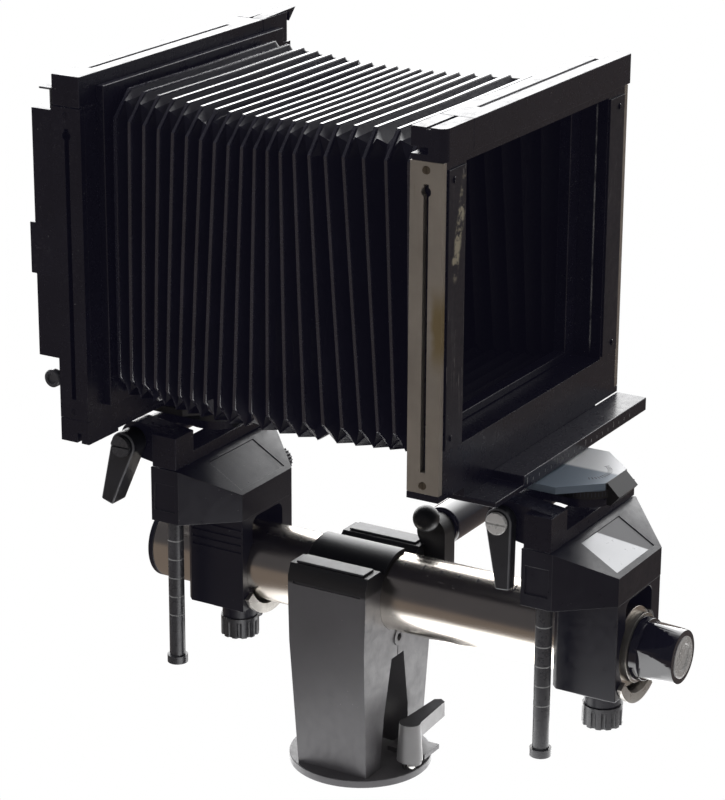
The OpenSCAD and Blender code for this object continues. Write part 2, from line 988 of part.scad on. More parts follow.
// Round dial under a slab with cut front corners and a pointed nose
module swing_table(y, slab_back) {
    nose_y = y + slab_nose;
    color(silver)
        union() {
            along_x([-nose_half, nose_half])
                polygon([
                    [nose_y + eps, slab_top], [nose_y, slab_top],
                    [nose_y - nose_run, slab_top - nose_drop], [nose_y - nose_back, slab_top - nose_h],
                    [nose_y + eps, slab_top - nose_h]
                ]);
            z_rod(dial_r, [table_low, table_top], 0, y + swing_y);
            z_rod(swing_stud_r, [deck_low + stud_inset, table_low + eps], 0, y + swing_y);
            translate([0, 0, table_top - eps])
                linear_extrude(height = slab_t + eps)
                    polygon([
                        [-slab_nose_half, y + slab_nose], [slab_nose_half, y + slab_nose],
                        [slab_half, y + slab_bend], [slab_half, slab_back],
                        [-slab_half, slab_back], [-slab_half, y + slab_bend]
                    ]);
        }
}

// Shelf under a frame; the shelf stands out on the side away from the bellows
module shift_plate(frame_y, out) {
    back = frame_y + frame_depth;
    shelf = out < 0 ? [frame_y - shelf_depth, frame_y] : [back, back + shelf_depth];
    deck = [min(frame_y, shelf[0]), max(back, shelf[1])];
    color(black)
        union() {
            span([-shift_half, shift_half], deck, [shift_low, shift_top]);
            span([shelf_near, half_w], shelf, [shift_low, shelf_top]);
        }
}

// Frames; lip is how far the corner block stands out at the front, side is the end that it is on,
// and low is the underside of the foot bar's two ends
module frame(y, lip, side, low) {
    color(black)
        difference() {
            union() {
                span([-end_in - eps, end_in + eps], [y, y + frame_depth], [frame_low, foot_bar_top]);
                both_sides()
                    span([end_in, half_w], [y, y + frame_depth], [low, foot_bar_top]);
                span([-core_half, core_half], [y, y + frame_depth], [foot_bar_top - eps, frame_top]);
                mirror([side > 0 ? 0 : 1, 0, 0])
                    corner_block(y - lip, y + frame_depth - air_gap);
            }
            span([-win_half, win_half], [y - over, y + frame_depth + over], [sill_top, win_top]);
            both_sides()
                for (z = [plate_screw_low, plate_screw_high])
                    x_rod(screw_r, [core_half - screw_len, core_half + over], y + frame_depth / 2, z);
            if (low < frame_low)
                both_sides()
                    span([end_in - over, half_w + over],
                         [y + end_groove_in, y + end_groove_in + end_groove_w],
                         [low - over, low + end_groove_d]);
        }
}

// Block on the frame's top corner with a rounded edge, a groove and a notch for the finger
module corner_block(y0, y1) {
    inner = half_w - corner_len;
    mid = (y0 + y1) / 2;
    difference() {
        union() {
            span([inner, half_w], [y0 + corner_r, y1], [frame_top - eps, bar_top]);
            span([inner, half_w - corner_r], [y0, y1], [frame_top - eps, bar_top]);
            z_rod(corner_r, [frame_top - eps, bar_top], half_w - corner_r, y0 + corner_r);
        }
        span([half_w - corner_notch_d, half_w + over], [mid, y1 + over],
             [frame_top + corner_notch_low, frame_top + corner_notch_low + corner_notch_h]);
        span([inner - over, half_w + over], [mid - bar_slot_w / 2, mid + bar_slot_w / 2],
             [bar_top - bar_slot_d, bar_top + over]);
    }
}

// A side plate with its keyed slot and two counterbored screw holes, on the far side
module side_plate(y) {
    mid = y + frame_depth / 2;
    difference() {
        span([core_half, half_w], [y, y + frame_depth], [plate_low, plate_top]);
        span([core_half - over, half_w + over], [mid - key_w / 2, mid + key_w / 2], [key_low, key_high]);
        x_rod(key_hole_r, [core_half - over, half_w + over], mid, key_hole_z);
        for (z = [plate_screw_low, plate_screw_high]) {
            x_rod(screw_r, [core_half - over, half_w + over], mid, z);
            x_rod(screw_cap_r, [half_w - screw_cap_t, half_w + over], mid, z);
        }
    }
}

module side_plates(y, tint) {
    color(tint)
        both_sides()
            side_plate(y);
}

module screws(y) {
    mid = y + frame_depth / 2;
    color(steel)
        both_sides()
            for (z = [plate_screw_low, plate_screw_high])
                union() {
                    x_rod(screw_r, [core_half - screw_len, half_w - screw_cap_t + eps], mid, z);
                    x_rod(screw_cap_r, [half_w - screw_cap_t, half_w], mid, z);
                }
}

module front_strips() {
    color(dark)
        both_sides()
            span([strip_x - strip_half, strip_x + strip_half], [front_frame_y - strip_t, front_frame_y],
                 [sill_top + strip_end, win_top - strip_end]);
}

// Sliding bar on top of a frame; it stands flush with the end away from the corner block
module top_bar(y, lip, side) {
    mid = (y - lip + y + frame_depth - air_gap) / 2;
    inner = half_w - corner_len - air_gap;
    color(black)
        mirror([side > 0 ? 0 : 1, 0, 0])
            difference() {
                span([-half_w, inner], [y - lip, y + frame_depth - air_gap], [bar_low, bar_top]);
                span([-half_w + bar_slot_inset, inner - bar_slot_inset],
                     [mid - bar_slot_w / 2, mid + bar_slot_w / 2], [bar_top - bar_slot_d, bar_top + over]);
            }
}

// Bellows
module bellows_frame(y, lip) {
    half = bellows_frame_half;
    hole = bellows_hole_half;
    edge = win_half - air_gap;
    color(black)
        difference() {
            union() {
                span([-half, half], y, [axis_z - half, axis_z + half]);
                span([-edge, edge], [y[0] - lip, y[1]], [sill_top + air_gap, win_top - air_gap]);
            }
            span([-hole, hole], [y[0] - lip - over, y[1] + over], [axis_z - hole, axis_z + hole]);
        }
}

// One square ring of the bellows with cut corners round a middle at z, as eight points
function fold_ring(y, z, half, cut) = [
    [-half, y, z - half + cut], [-half + cut, y, z - half],
    [half - cut, y, z - half], [half, y, z - half + cut],
    [half, y, z + half - cut], [half - cut, y, z + half],
    [-half + cut, y, z + half], [-half, y, z + half - cut]
];

fold_steps = 2 * fold_count;
ring_points = 8;

// Half width and corner cut of the ring at a step: crests at odd steps, valleys at even steps
function fold_half(step) = bellows_half - (step % 2 == 0 ? fold_depth : 0);
function fold_cut(step) = step % 2 == 0 ? valley_cut : crest_cut;
function fold_y(step) = bellows_y0 + (bellows_y1 - bellows_y0) * step / fold_steps;
function fold_z(step) = axis_z - bellows_sag * sin(180 * step / fold_steps);

module bellows_cloth() {
    rings = fold_steps + 1;
    outer = [for (step = [0 : fold_steps])
        each fold_ring(fold_y(step), fold_z(step), fold_half(step), fold_cut(step))];
    inner = [for (step = [0 : fold_steps])
        each fold_ring(fold_y(step), fold_z(step), fold_half(step) - cloth_t, fold_cut(step))];
    shift = rings * ring_points;
    quads = [for (step = [0 : fold_steps - 1], k = [0 : ring_points - 1])
        let (a = step * ring_points + k, b = step * ring_points + (k + 1) % ring_points)
        [a, b, b + ring_points, a + ring_points]];
    last = fold_steps * ring_points;
    outer_faces = [for (q = quads) each [[q[0], q[1], q[2]], [q[0], q[2], q[3]]]];
    inner_faces = [for (q = quads) each [[q[2], q[1], q[0]] + [shift, shift, shift],
                                         [q[3], q[2], q[0]] + [shift, shift, shift]]];
    front_faces = [for (k = [0 : ring_points - 1])
        let (n = (k + 1) % ring_points)
        each [[k, k + shift, n + shift], [k, n + shift, n]]];
    back_faces = [for (k = [0 : ring_points - 1])
        let (a = last + k, n = last + (k + 1) % ring_points)
        each [[a, n, n + shift], [a, n + shift, a + shift]]];
    color(black)
        polyhedron(points = concat(outer, inner),
                   faces = concat(outer_faces, inner_faces, front_faces, back_faces));
}

// Ground-glass back with a grip on its near edge and a stop pin on the far one
module back_frame() {
    depth = [back_y0, back_y1];
    grip_top = back_z - grip_drop + grip_h;
    color(black)
        difference() {
            union() {
                span([-back_half_w, back_half_w], depth, [back_z - back_half_h, back_z + back_half_h]);
                span([-back_half_w, -glass_half_w - glass_lap], [back_y1 - eps, back_y1 + grip_t],
                     [back_z - grip_drop, grip_top]);
                y_rod(stop_r, [back_y1 - eps, back_y1 + stop_len], back_half_w - latch_inset, back_z);
            }
            span([-back_win_half_w, back_win_half_w], [depth[0] - over, depth[1] + over],
                 [back_z - back_win_half_h, back_z + back_win_half_h]);
            span([-glass_half_w, glass_half_w], [back_y1 - glass_t - glass_sink, back_y1 + over],
                 [back_z - glass_half_h, back_z + glass_half_h]);
        }
}

module ground_glass() {
    color("lightgrey")
        span([-glass_half_w, glass_half_w], [back_y1 - glass_t - glass_sink, back_y1 - glass_sink],
             [back_z - glass_half_h, back_z + glass_half_h]);
}

// Leaf on the back's top edge with its end bent to the rear
module back_latch() {
    y = back_y0 + latch_in;
    width = [latch_x - latch_w / 2, latch_x + latch_w / 2];
    color(steel)
        union() {
            span(width, [y, y + latch_t], [latch_z, latch_z + latch_h]);
            span(width, [y, y + latch_lip], [latch_z + latch_h - latch_t, latch_z + latch_h]);
        }
}

base_foot();
tripod_bush();
clamp_body();
clamp_jaw();
clamp_pin();
clamp_pad(-pad_x);  // clamp_near_pad
clamp_pad(pad_x);  // clamp_far_pad
clamp_lever();
clamp_spindle();
clamp_knob();
rail_tube();
rail_front_plug();
rail_end_knob();
rail_rear_cap();
bearer(front_y, false);  // front_bearer
housing(front_y);  // front_housing
name_plate(front_y, silver);  // front_name_plate
lock_yoke(front_y);  // front_lock_yoke
rail_jaw(front_y);  // front_rail_jaw
lock_knob(front_y);  // front_lock_knob
focus_shaft(front_y);  // front_focus_shaft
focus_wheel(front_y);  // front_focus_wheel
posts(front_y);  // front_posts
head(front_y);  // front_head
tilt_axle(front_y, front_lever_t);  // front_tilt_axle
tilt_lever(front_y, front_lever_deg, front_lever_t);  // front_tilt_lever
tilt_carriage(front_y);  // front_tilt_carriage
swing_table(front_y, front_frame_back);  // front_swing_table
shift_plate(front_frame_y, -1);  // front_shift_plate
frame(front_frame_y, bar_lip, -1, frame_low + end_lift);  // front_frame
side_plates(front_frame_y, silver);  // front_side_plates
front_strips();
top_bar(front_frame_y, bar_lip, -1);  // front_top_bar
screws(front_frame_y);  // front_screws
bearer(rear_y, true);  // rear_bearer
housing(rear_y);  // rear_housing
name_plate(rear_y, dark);  // rear_name_plate
lock_yoke(rear_y);  // rear_lock_yoke
rail_jaw(rear_y);  // rear_rail_jaw
lock_knob(rear_y);  // rear_lock_knob
focus_shaft(rear_y);  // rear_focus_shaft
focus_wheel(rear_y);  // rear_focus_wheel
posts(rear_y);  // rear_posts
head(rear_y);  // rear_head
tilt_axle(rear_y, rear_lever_t);  // rear_tilt_axle
tilt_lever(rear_y, rear_lever_deg, rear_lever_t);  // rear_tilt_lever
tilt_carriage(rear_y);  // rear_tilt_carriage
swing_table(rear_y, rear_frame_back);  // rear_swing_table
shift_plate(rear_frame_y, 1);  // rear_shift_plate
frame(rear_frame_y, -air_gap, 1, frame_low - end_drop);  // rear_frame
side_plates(rear_frame_y, dark);  // rear_side_plates
top_bar(rear_frame_y, -air_gap, 1);  // rear_top_bar
screws(rear_frame_y);  // rear_screws
bellows_frame([front_frame_back, bellows_y0], board_lip);  // front_bellows_frame
bellows_frame([bellows_y1, rear_frame_y], 0);  // rear_bellows_frame
bellows_cloth();
back_frame();
ground_glass();
back_latch();
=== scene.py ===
import math

import bmesh
import bpy
from mathutils import Matrix, Vector


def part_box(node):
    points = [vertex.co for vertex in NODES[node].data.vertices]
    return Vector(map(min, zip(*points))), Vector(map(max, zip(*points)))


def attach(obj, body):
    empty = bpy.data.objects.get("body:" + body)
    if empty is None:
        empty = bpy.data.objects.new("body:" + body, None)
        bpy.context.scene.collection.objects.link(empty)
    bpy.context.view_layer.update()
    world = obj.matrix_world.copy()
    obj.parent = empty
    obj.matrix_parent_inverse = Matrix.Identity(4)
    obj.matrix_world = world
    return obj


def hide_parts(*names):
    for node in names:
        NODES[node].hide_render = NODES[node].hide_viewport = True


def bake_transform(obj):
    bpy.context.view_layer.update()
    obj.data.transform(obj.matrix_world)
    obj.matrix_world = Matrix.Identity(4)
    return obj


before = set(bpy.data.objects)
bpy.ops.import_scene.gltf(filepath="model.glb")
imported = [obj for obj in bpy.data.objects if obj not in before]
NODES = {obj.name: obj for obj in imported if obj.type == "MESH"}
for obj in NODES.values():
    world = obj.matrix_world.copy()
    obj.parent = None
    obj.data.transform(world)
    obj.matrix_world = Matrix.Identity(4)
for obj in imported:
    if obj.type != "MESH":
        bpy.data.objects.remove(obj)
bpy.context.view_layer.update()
MM = 0.001


# Node helpers
def feed(nt, socket, value):
    """Links a socket's source, or sets a plain value."""
    if hasattr(value, "is_linked"):
        nt.links.new(value, socket)
    elif value is not None:
        socket.default_value = value


def mix_color(nt, fac, a, b):
    """Colour a where fac is 0 and b where it is 1."""
    n = nt.nodes.new("ShaderNodeMix")
    n.data_type = "RGBA"
    for socket, value in ((n.inputs[0], fac), (n.inputs[6], a), (n.inputs[7], b)):
        feed(nt, socket, value)
    return n.outputs[2]


def maths(nt, op, *values):
    """The result of a Math node on values."""
    n = nt.nodes.new("ShaderNodeMath")
    n.operation = op
    for socket, value in zip(n.inputs, values):
        feed(nt, socket, value)
    return n.outputs[0]


def vector_maths(nt, op, a, b):
    """The outputs of a Vector Math node on two vectors."""
    n = nt.nodes.new("ShaderNodeVectorMath")
    n.operation = op
    for socket, value in zip(n.inputs, (a, b)):
        feed(nt, socket, value)
    return n.outputs


def noise(nt, vec, scale, detail=4.0, rough=0.55, stretch=None):
    """Noise from 0 to 1, drawn out along the axes on which stretch is small."""
    if stretch:
        mapping = nt.nodes.new("ShaderNodeMapping")
        mapping.inputs["Scale"].default_value = stretch
        nt.links.new(vec, mapping.inputs["Vector"])
        vec = mapping.outputs[0]
    n = nt.nodes.new("ShaderNodeTexNoise")
    n.inputs["Scale"].default_value = scale
    n.inputs["Detail"].default_value = detail
    n.inputs["Roughness"].default_value = rough
    nt.links.new(vec, n.inputs["Vector"])
    return n.outputs["Fac"]


def ramp(nt, fac, *stops):
    """Grey values at places along fac."""
    n = nt.nodes.new("ShaderNodeValToRGB")
    while len(n.color_ramp.elements) < len(stops):
        n.color_ramp.elements.new(0.5)
    for element, (place, value) in zip(n.color_ramp.elements, stops):
        element.position = place
        element.color = (value, value, value, 1)
    nt.links.new(fac, n.inputs[0])
    return n.outputs[0]


def smooth_range(nt, value, lo, hi, to_lo=0.0, to_hi=1.0):
    """A smooth step from to_lo to to_hi as value goes from lo to hi."""
    n = nt.nodes.new("ShaderNodeMapRange")
    n.interpolation_type = "SMOOTHSTEP"
    for k, v in enumerate((value, lo, hi, to_lo, to_hi)):
        feed(nt, n.inputs[k], v)
    return n.outputs[0]


# Painted glow: a faint blue emission over the blacks, which makes them glow as if lit
PAINTED_GLOW_COLOR = (0.0026, 0.0024, 0.0050, 1)
COAT_ROUGH = 0.12
BUMP_DEPTH = 0.2 * MM
DUST = (0.35, 0.34, 0.33)
DUST_ROUGH = 0.8
# How many cells of a pattern there are to a metre
SPECK_SCALE = 330
SPECK_PATCH = 60
SCRATCH_PATCH = 22


class Finish:
    """A Principled finish with fine grain, patchy gloss and a slow drift of colour, on Object coordinates."""

    def __init__(self, name, color, rough, metal=0.0, drift=0.25, grain=900.0, bump=0.15, blotch=35.0,
                 rough_var=0.12, spec=0.5, coat=0.0, stretch=None, dust=0.0, painted_glow=False):
        self.mat = bpy.data.materials.new(name)
        self.mat.use_nodes = True
        self.nt = nt = self.mat.node_tree
        self.bsdf = nt.nodes["Principled BSDF"]
        coord = nt.nodes.new("ShaderNodeTexCoord")
        self.vec = coord.outputs["Object"]
        slow = noise(nt, self.vec, blotch, 5)
        dark = tuple(c * (1 - drift) for c in color) + (1,)
        light = tuple(min(1, c * (1 + drift)) for c in color) + (1,)
        self.color = mix_color(nt, ramp(nt, slow, (0.3, 0.0), (0.7, 1.0)), dark, light)
        nt.links.new(self.color, self.bsdf.inputs["Base Color"])
        fine = noise(nt, self.vec, blotch * 6, 6, 0.7, stretch)
        self.rough = ramp(nt, fine, (0.25, max(0.02, rough - rough_var)), (0.75, min(1, rough + rough_var)))
        nt.links.new(self.rough, self.bsdf.inputs["Roughness"])
        self.bsdf.inputs["Metallic"].default_value = metal
        self.bsdf.inputs["Specular IOR Level"].default_value = spec
        self.bsdf.inputs["Coat Weight"].default_value = coat
        self.bsdf.inputs["Coat Roughness"].default_value = COAT_ROUGH
        self.bump = nt.nodes.new("ShaderNodeBump")
        self.bump.inputs["Strength"].default_value = bump
        self.bump.inputs["Distance"].default_value = BUMP_DEPTH
        nt.links.new(noise(nt, self.vec, grain, 3, 0.6, stretch), self.bump.inputs["Height"])
        nt.links.new(self.bump.outputs[0], self.bsdf.inputs["Normal"])
        # Painted glow: the finish gives off the faint blue light itself
        if painted_glow:
            self.bsdf.inputs["Emission Color"].default_value = PAINTED_GLOW_COLOR
            self.bsdf.inputs["Emission Strength"].default_value = 1.0
        if dust:
            self.specks(dust)

    def xyz(self):
        """The three Object coordinates, in metres."""
        n = self.nt.nodes.new("ShaderNodeSeparateXYZ")
        self.nt.links.new(self.vec, n.inputs[0])
        return n.outputs

    def cover(self, mask, color, rough=None):
        """Covers the colour with another where mask is 1."""
        self.color = mix_color(self.nt, mask, self.color, (*color, 1))
        self.nt.links.new(self.color, self.bsdf.inputs["Base Color"])
        if rough is not None:
            self.rough = mix_color(self.nt, mask, self.rough, (rough, rough, rough, 1))
            self.nt.links.new(self.rough, self.bsdf.inputs["Roughness"])

    def specks(self, amount):
        """Scattered grains of dust."""
        n = self.nt.nodes.new("ShaderNodeTexVoronoi")
        n.inputs["Scale"].default_value = SPECK_SCALE
        n.inputs["Randomness"].default_value = 1.0
        self.nt.links.new(self.vec, n.inputs["Vector"])
        near = ramp(self.nt, n.outputs["Distance"], (0.06, 1.0), (0.1, 0.0))
        rare = ramp(self.nt, noise(self.nt, self.vec, SPECK_PATCH, 3), (0.55, 0.0), (0.66, amount))
        self.cover(maths(self.nt, "MULTIPLY", near, rare), DUST, DUST_ROUGH)

    def scratches(self, color, amount, stretch, scale=120.0):
        """Thin scratches drawn out along the axis that stretch makes long."""
        fac = noise(self.nt, self.vec, scale, 2, 0.4, stretch)
        line = ramp(self.nt, fac, (0.612, 0.0), (0.625, 1.0), (0.638, 0.0))
        patch = ramp(self.nt, noise(self.nt, self.vec, SCRATCH_PATCH, 3), (0.5, 0.0), (0.6, amount))
        self.cover(maths(self.nt, "MULTIPLY", line, patch), color)

    def above(self, value, at, soft):
        """1 where value is over at, in metres, with a soft edge."""
        return smooth_range(self.nt, value, at - soft, at + soft)

    def below(self, value, at, soft):
        """1 where value is under at, in metres, with a soft edge."""
        return smooth_range(self.nt, value, at - soft, at + soft, 1.0, 0.0)

    def within(self, value, lo, hi, soft):
        """1 where value lies between lo and hi, in metres, with soft edges."""
        return maths(self.nt, "MULTIPLY", self.above(value, lo, soft), self.below(value, hi, soft))

    def both(self, *masks):
        """1 where every mask is 1."""
        total = masks[0]
        for mask in masks[1:]:
            total = maths(self.nt, "MULTIPLY", total, mask)
        return total


# Finishes: colour, roughness and what differs from plain
paint = Finish("black_enamel", (0.0045, 0.0043, 0.0075), 0.3, drift=0.3, grain=1400, bump=0.1, spec=0.36,
               dust=0.5, painted_glow=True)
# Painted highlight: the edge finishes are lighter copies of the face finishes, for the rounded edges
paint_edge_highlight = Finish("black_enamel_edge_highlight", (0.014, 0.0135, 0.019), 0.3, drift=0.5, grain=1400, bump=0.1,
                    painted_glow=True)
frame_paint = Finish("frame_enamel", (0.0045, 0.0043, 0.0075), 0.3, drift=0.3, grain=1400, bump=0.1,
                     spec=0.36, dust=0.5, painted_glow=True)
# Painted light: this grey stands in for the glow of the bright table on the castings
cast = Finish("table_lit_casting", (0.085, 0.081, 0.088), 0.42, drift=0.1, grain=1100, bump=0.22, spec=0.45,
              dust=0.4)
# Painted highlight for the rounded edges of the castings
cast_edge_highlight = Finish("grey_casting_edge", (0.10, 0.098, 0.105), 0.45, drift=0.3, grain=1100, bump=0.2, spec=0.4)
plastic = Finish("black_moulding", (0.0055, 0.0058, 0.0090), 0.36, drift=0.2, grain=1700, bump=0.2, spec=0.38,
                 dust=0.35, painted_glow=True)
# Painted highlight for the rounded edges of the black mouldings
plastic_edge_highlight = Finish("black_moulding_edge_highlight", (0.034, 0.034, 0.042), 0.34, drift=0.4, grain=1700, bump=0.1)
grey = Finish("grey_moulding", (0.019, 0.0195, 0.025), 0.36, drift=0.2, grain=1500, bump=0.2)
# Painted highlight for the rounded edges of the grey mouldings
grey_edge_highlight = Finish("grey_moulding_edge_highlight", (0.10, 0.10, 0.11), 0.42, drift=0.3, grain=1500, bump=0.2)
tube = Finish("grey_tube", (0.045, 0.045, 0.052), 0.3, drift=0.15, grain=1500, bump=0.15)
# Painted highlight for the rounded edges of the grey tubes
tube_edge_highlight = Finish("grey_tube_edge", (0.10, 0.10, 0.11), 0.42, drift=0.3, grain=1500, bump=0.2)
# The clamp lever's pale grey is partly its own colour and partly painted light from the bright table
pale = Finish("pale_table_lit_moulding", (0.26, 0.255, 0.26), 0.38, drift=0.1, grain=1500, bump=0.2)
gloss = Finish("polished_black", (0.006, 0.006, 0.010), 0.09, drift=0.2, grain=600, bump=0.02, rough_var=0.04,
               coat=0.5, painted_glow=True)
# Painted shade: a darker, matte finish for the clamp lever's upper faces
painted_shade_top = Finish("painted_shade_top", (0.06, 0.06, 0.066), 0.75, drift=0.15, grain=1500, bump=0.2, spec=0.1)
steel = Finish("turned_steel", (0.62, 0.61, 0.59), 0.26, metal=1.0, drift=0.15, grain=2500, bump=0.1)
bright_steel = Finish("bright_steel", (0.62, 0.61, 0.60), 0.3, metal=0.3, drift=0.12, grain=2500, bump=0.1)
rail_metal = Finish("satin_rail", (0.74, 0.69, 0.63), 0.24, metal=1.0, drift=0.05, grain=700, bump=0.02,
                    rough_var=0.05, stretch=(1.0, 0.1, 1.0))
worn_silver = Finish("worn_silver", (0.42, 0.40, 0.37), 0.32, metal=0.85, drift=0.3, grain=1200, bump=0.15)
aged = Finish("aged_aluminium", (0.40, 0.365, 0.325), 0.42, metal=0.7, drift=0.12, grain=1500, bump=0.1,
              stretch=(2.0, 2.0, 0.25))
strip = Finish("worn_strip", (0.007, 0.0067, 0.0095), 0.42, drift=0.3, grain=1200, bump=0.2, spec=0.4,
               dust=0.6, painted_glow=True)
dial = Finish("dial_metal", (0.66, 0.67, 0.69), 0.38, metal=0.1, drift=0.06, grain=1500, bump=0.05,
              rough_var=0.03)
plate = Finish("bare_plate", (0.42, 0.425, 0.44), 0.3, metal=0.4, drift=0.05, grain=2000, bump=0.02,
               rough_var=0.05)
cloth = Finish("bellows_cloth", (0.0065, 0.006, 0.0105), 0.46, drift=0.3, grain=2600, bump=0.35, spec=0.4,
               dust=0.4, painted_glow=True)
crease = Finish("bellows_crease", (0.014, 0.0135, 0.019), 0.25, drift=0.3, grain=2600, bump=0.1, coat=0.8,
                painted_glow=True)
corner = Finish("bellows_corner", (0.009, 0.0085, 0.0135), 0.42, drift=0.4, grain=2200, bump=0.3, spec=0.4,
                painted_glow=True)
pad = Finish("pad_rubber", (0.03, 0.03, 0.036), 0.42, drift=0.15, grain=1500, bump=0.1, rough_var=0.04,
             spec=0.65)
screw = Finish("dull_brass", (0.12, 0.095, 0.07), 0.45, metal=0.6, drift=0.3, grain=2000, bump=0.15)
ink = Finish("scale_ink", (0.02, 0.022, 0.04), 0.5, drift=0.2)
ink_white = Finish("scale_white", (0.27, 0.27, 0.27), 0.5, drift=0.15)
glass = Finish("ground_glass", (0.55, 0.58, 0.58), 0.5, drift=0.06, grain=4000, bump=0.3)
hollow = Finish("dark_hollow", (0.005, 0.005, 0.008), 0.7, drift=0.2, painted_glow=True)

# Painted light: the castings are grey for the glow of the bright table below them; the clamp's jaws keep
# their own black above the slot under their tops
JAW_BAND = 9.5 * MM
JAW_BLACK = (0.012, 0.012, 0.015)
jaw_band_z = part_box("clamp_near_pad")[0].z - JAW_BAND
x, y, z = cast.xyz()
cast.cover(cast.above(z, jaw_band_z, MM), JAW_BLACK, 0.4)

# Painted reflection: the front roof plate is dark beyond a slanting line, where it would mirror the dark
# shelf above it
PLATE_SPLIT = -4.2 * MM
SPLIT_SLANT = 0.951
SPLIT_SOFT = 0.6 * MM
PLATE_REFLECTED_DARK = (0.012, 0.012, 0.016)
split_at = PLATE_SPLIT + SPLIT_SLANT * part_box("front_name_plate")[1].y
x, y, z = plate.xyz()
split = maths(plate.nt, "ADD", x, maths(plate.nt, "MULTIPLY", y, SPLIT_SLANT))
plate.cover(plate.above(split, split_at, SPLIT_SOFT), PLATE_REFLECTED_DARK, 0.3)

# Only the slab of the front swing table is light, with a blue-grey painted shadow of the frame on the near
# side
SLAB_T = 3.5 * MM
DIAL_SPLIT = 2 * MM
NOSE_FRONT = 6.6 * MM
FRAME_SHADOW_BLUE = (0.13, 0.165, 0.21)
UNDER_SLAB = (0.010, 0.010, 0.013)
table_lo, table_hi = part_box("front_swing_table")
x, y, z = dial.xyz()
dial.cover(dial.below(x, DIAL_SPLIT, 1.5 * MM), FRAME_SHADOW_BLUE, 0.38)
dial.cover(dial.below(z, table_hi.z - SLAB_T, 0.1 * MM), UNDER_SLAB, 0.36)
dial.cover(dial.below(y, table_lo.y + NOSE_FRONT, 0.2 * MM), UNDER_SLAB, 0.36)

# Whitish wear along the far jamb of the front opening
JAMB_IN = 10.5 * MM
JAMB_HALF = 0.35 * MM
STRIP_W = 10 * MM
WEAR_INSET = 3 * MM
WORN = (0.3, 0.29, 0.28)
strips_lo, strips_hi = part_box("front_strips")
jamb_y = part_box("front_frame")[1].y - JAMB_IN
x, y, z = frame_paint.xyz()
patchy = noise(frame_paint.nt, frame_paint.vec, 150, 4, 0.6)
jamb = frame_paint.both(frame_paint.within(y, jamb_y - JAMB_HALF, jamb_y + JAMB_HALF, 0.25 * MM),
                        frame_paint.within(x, 0, strips_hi.x - STRIP_W, MM),
                        frame_paint.within(z, strips_lo.z + WEAR_INSET, strips_hi.z - WEAR_INSET, 2 * MM),
                        ramp(frame_paint.nt, patchy, (0.35, 0.2), (0.6, 1.0)))
frame_paint.cover(jamb, WORN, 0.6)

# Brown stain and scratches on the front side plates
plate_lo, plate_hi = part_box("front_side_plates")
STAIN = (0.30, 0.235, 0.13)
STAIN_Z = plate_lo.z + 62 * MM
STAIN_H = 30 * MM
STAIN_RAGGED = 6 * MM
x, y, z = aged.xyz()
ragged = noise(aged.nt, aged.vec, 90, 5, 0.6)
stain_y = maths(aged.nt, "ADD", y, maths(aged.nt, "MULTIPLY", ragged, STAIN_RAGGED))
aged.cover(aged.both(aged.within(z, STAIN_Z, STAIN_Z + STAIN_H, 9 * MM),
                     aged.within(stain_y, plate_lo.y - 3 * MM, plate_lo.y + 7.5 * MM, 2 * MM),
                     aged.within(x, plate_lo.x - MM, 0, MM)), STAIN, 0.5)
aged.scratches((0.30, 0.27, 0.22), 0.7, (8.0, 8.0, 0.25))

# Leaning tape residue and scratches on the front strips
RESIDUE = (0.33, 0.29, 0.20)
RESIDUE_X = plate_lo.x + 9 * MM
RESIDUE_Z = plate_hi.z - 54 * MM
RESIDUE_H = 45 * MM
RESIDUE_W = 5 * MM
RESIDUE_LEAN = 0.22
RESIDUE_RAGGED = 3 * MM
x, y, z = strip.xyz()
slope = maths(strip.nt, "ADD", x, maths(strip.nt, "MULTIPLY", z, -RESIDUE_LEAN))
ragged = noise(strip.nt, strip.vec, 160, 5, 0.65)
torn = ramp(strip.nt, ragged, (0.47, 0.0), (0.56, 0.9))
residue = maths(strip.nt, "ADD", slope, maths(strip.nt, "MULTIPLY", ragged, RESIDUE_RAGGED))
lean_x = RESIDUE_X - RESIDUE_LEAN * RESIDUE_Z
strip.cover(strip.both(strip.within(z, RESIDUE_Z, RESIDUE_Z + RESIDUE_H, 3 * MM),
                       strip.within(residue, lean_x - MM, lean_x + RESIDUE_W, 1.2 * MM), torn),
            RESIDUE, 0.6)
strip.scratches((0.2, 0.19, 0.18), 1.0, (6.0, 6.0, 0.35), 90)
for black in (paint, frame_paint):
    black.scratches((0.06, 0.058, 0.06), 0.5, (0.4, 6.0, 6.0), 70)

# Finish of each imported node
FINISH = {
    "base_foot": cast, "tripod_bush": steel, "clamp_body": cast, "clamp_jaw": cast, "clamp_pin": grey,
    "clamp_near_pad": pad, "clamp_far_pad": pad, "clamp_lever": pale, "clamp_spindle": steel,
    "clamp_knob": gloss, "rail_tube": rail_metal, "rail_front_plug": worn_silver, "rail_end_knob": gloss,
    "rail_rear_cap": plastic, "front_strips": strip, "front_bellows_frame": paint,
    "rear_bellows_frame": paint, "back_frame": paint, "ground_glass": glass, "back_latch": grey,
    "front_name_plate": plate, "rear_name_plate": plastic, "front_side_plates": aged,
    "rear_side_plates": paint, "front_screws": screw, "rear_screws": paint, "front_swing_table": dial,
    "rear_swing_table": grey,
}
for side in ("front", "rear"):
    FINISH.update({
        side + "_bearer": plastic, side + "_housing": plastic, side + "_lock_yoke": plastic,
        side + "_rail_jaw": worn_silver, side + "_lock_knob": tube, side + "_focus_shaft": steel,
        side + "_focus_wheel": plastic, side + "_posts": tube, side + "_head": paint,
        side + "_tilt_axle": steel, side + "_tilt_lever": grey, side + "_tilt_carriage": paint,
        side + "_shift_plate": paint, side + "_frame": paint, side + "_top_bar": paint,
    })
FINISH.update({"front_frame": frame_paint, "front_tilt_axle": bright_steel, "rear_tilt_axle": tube})
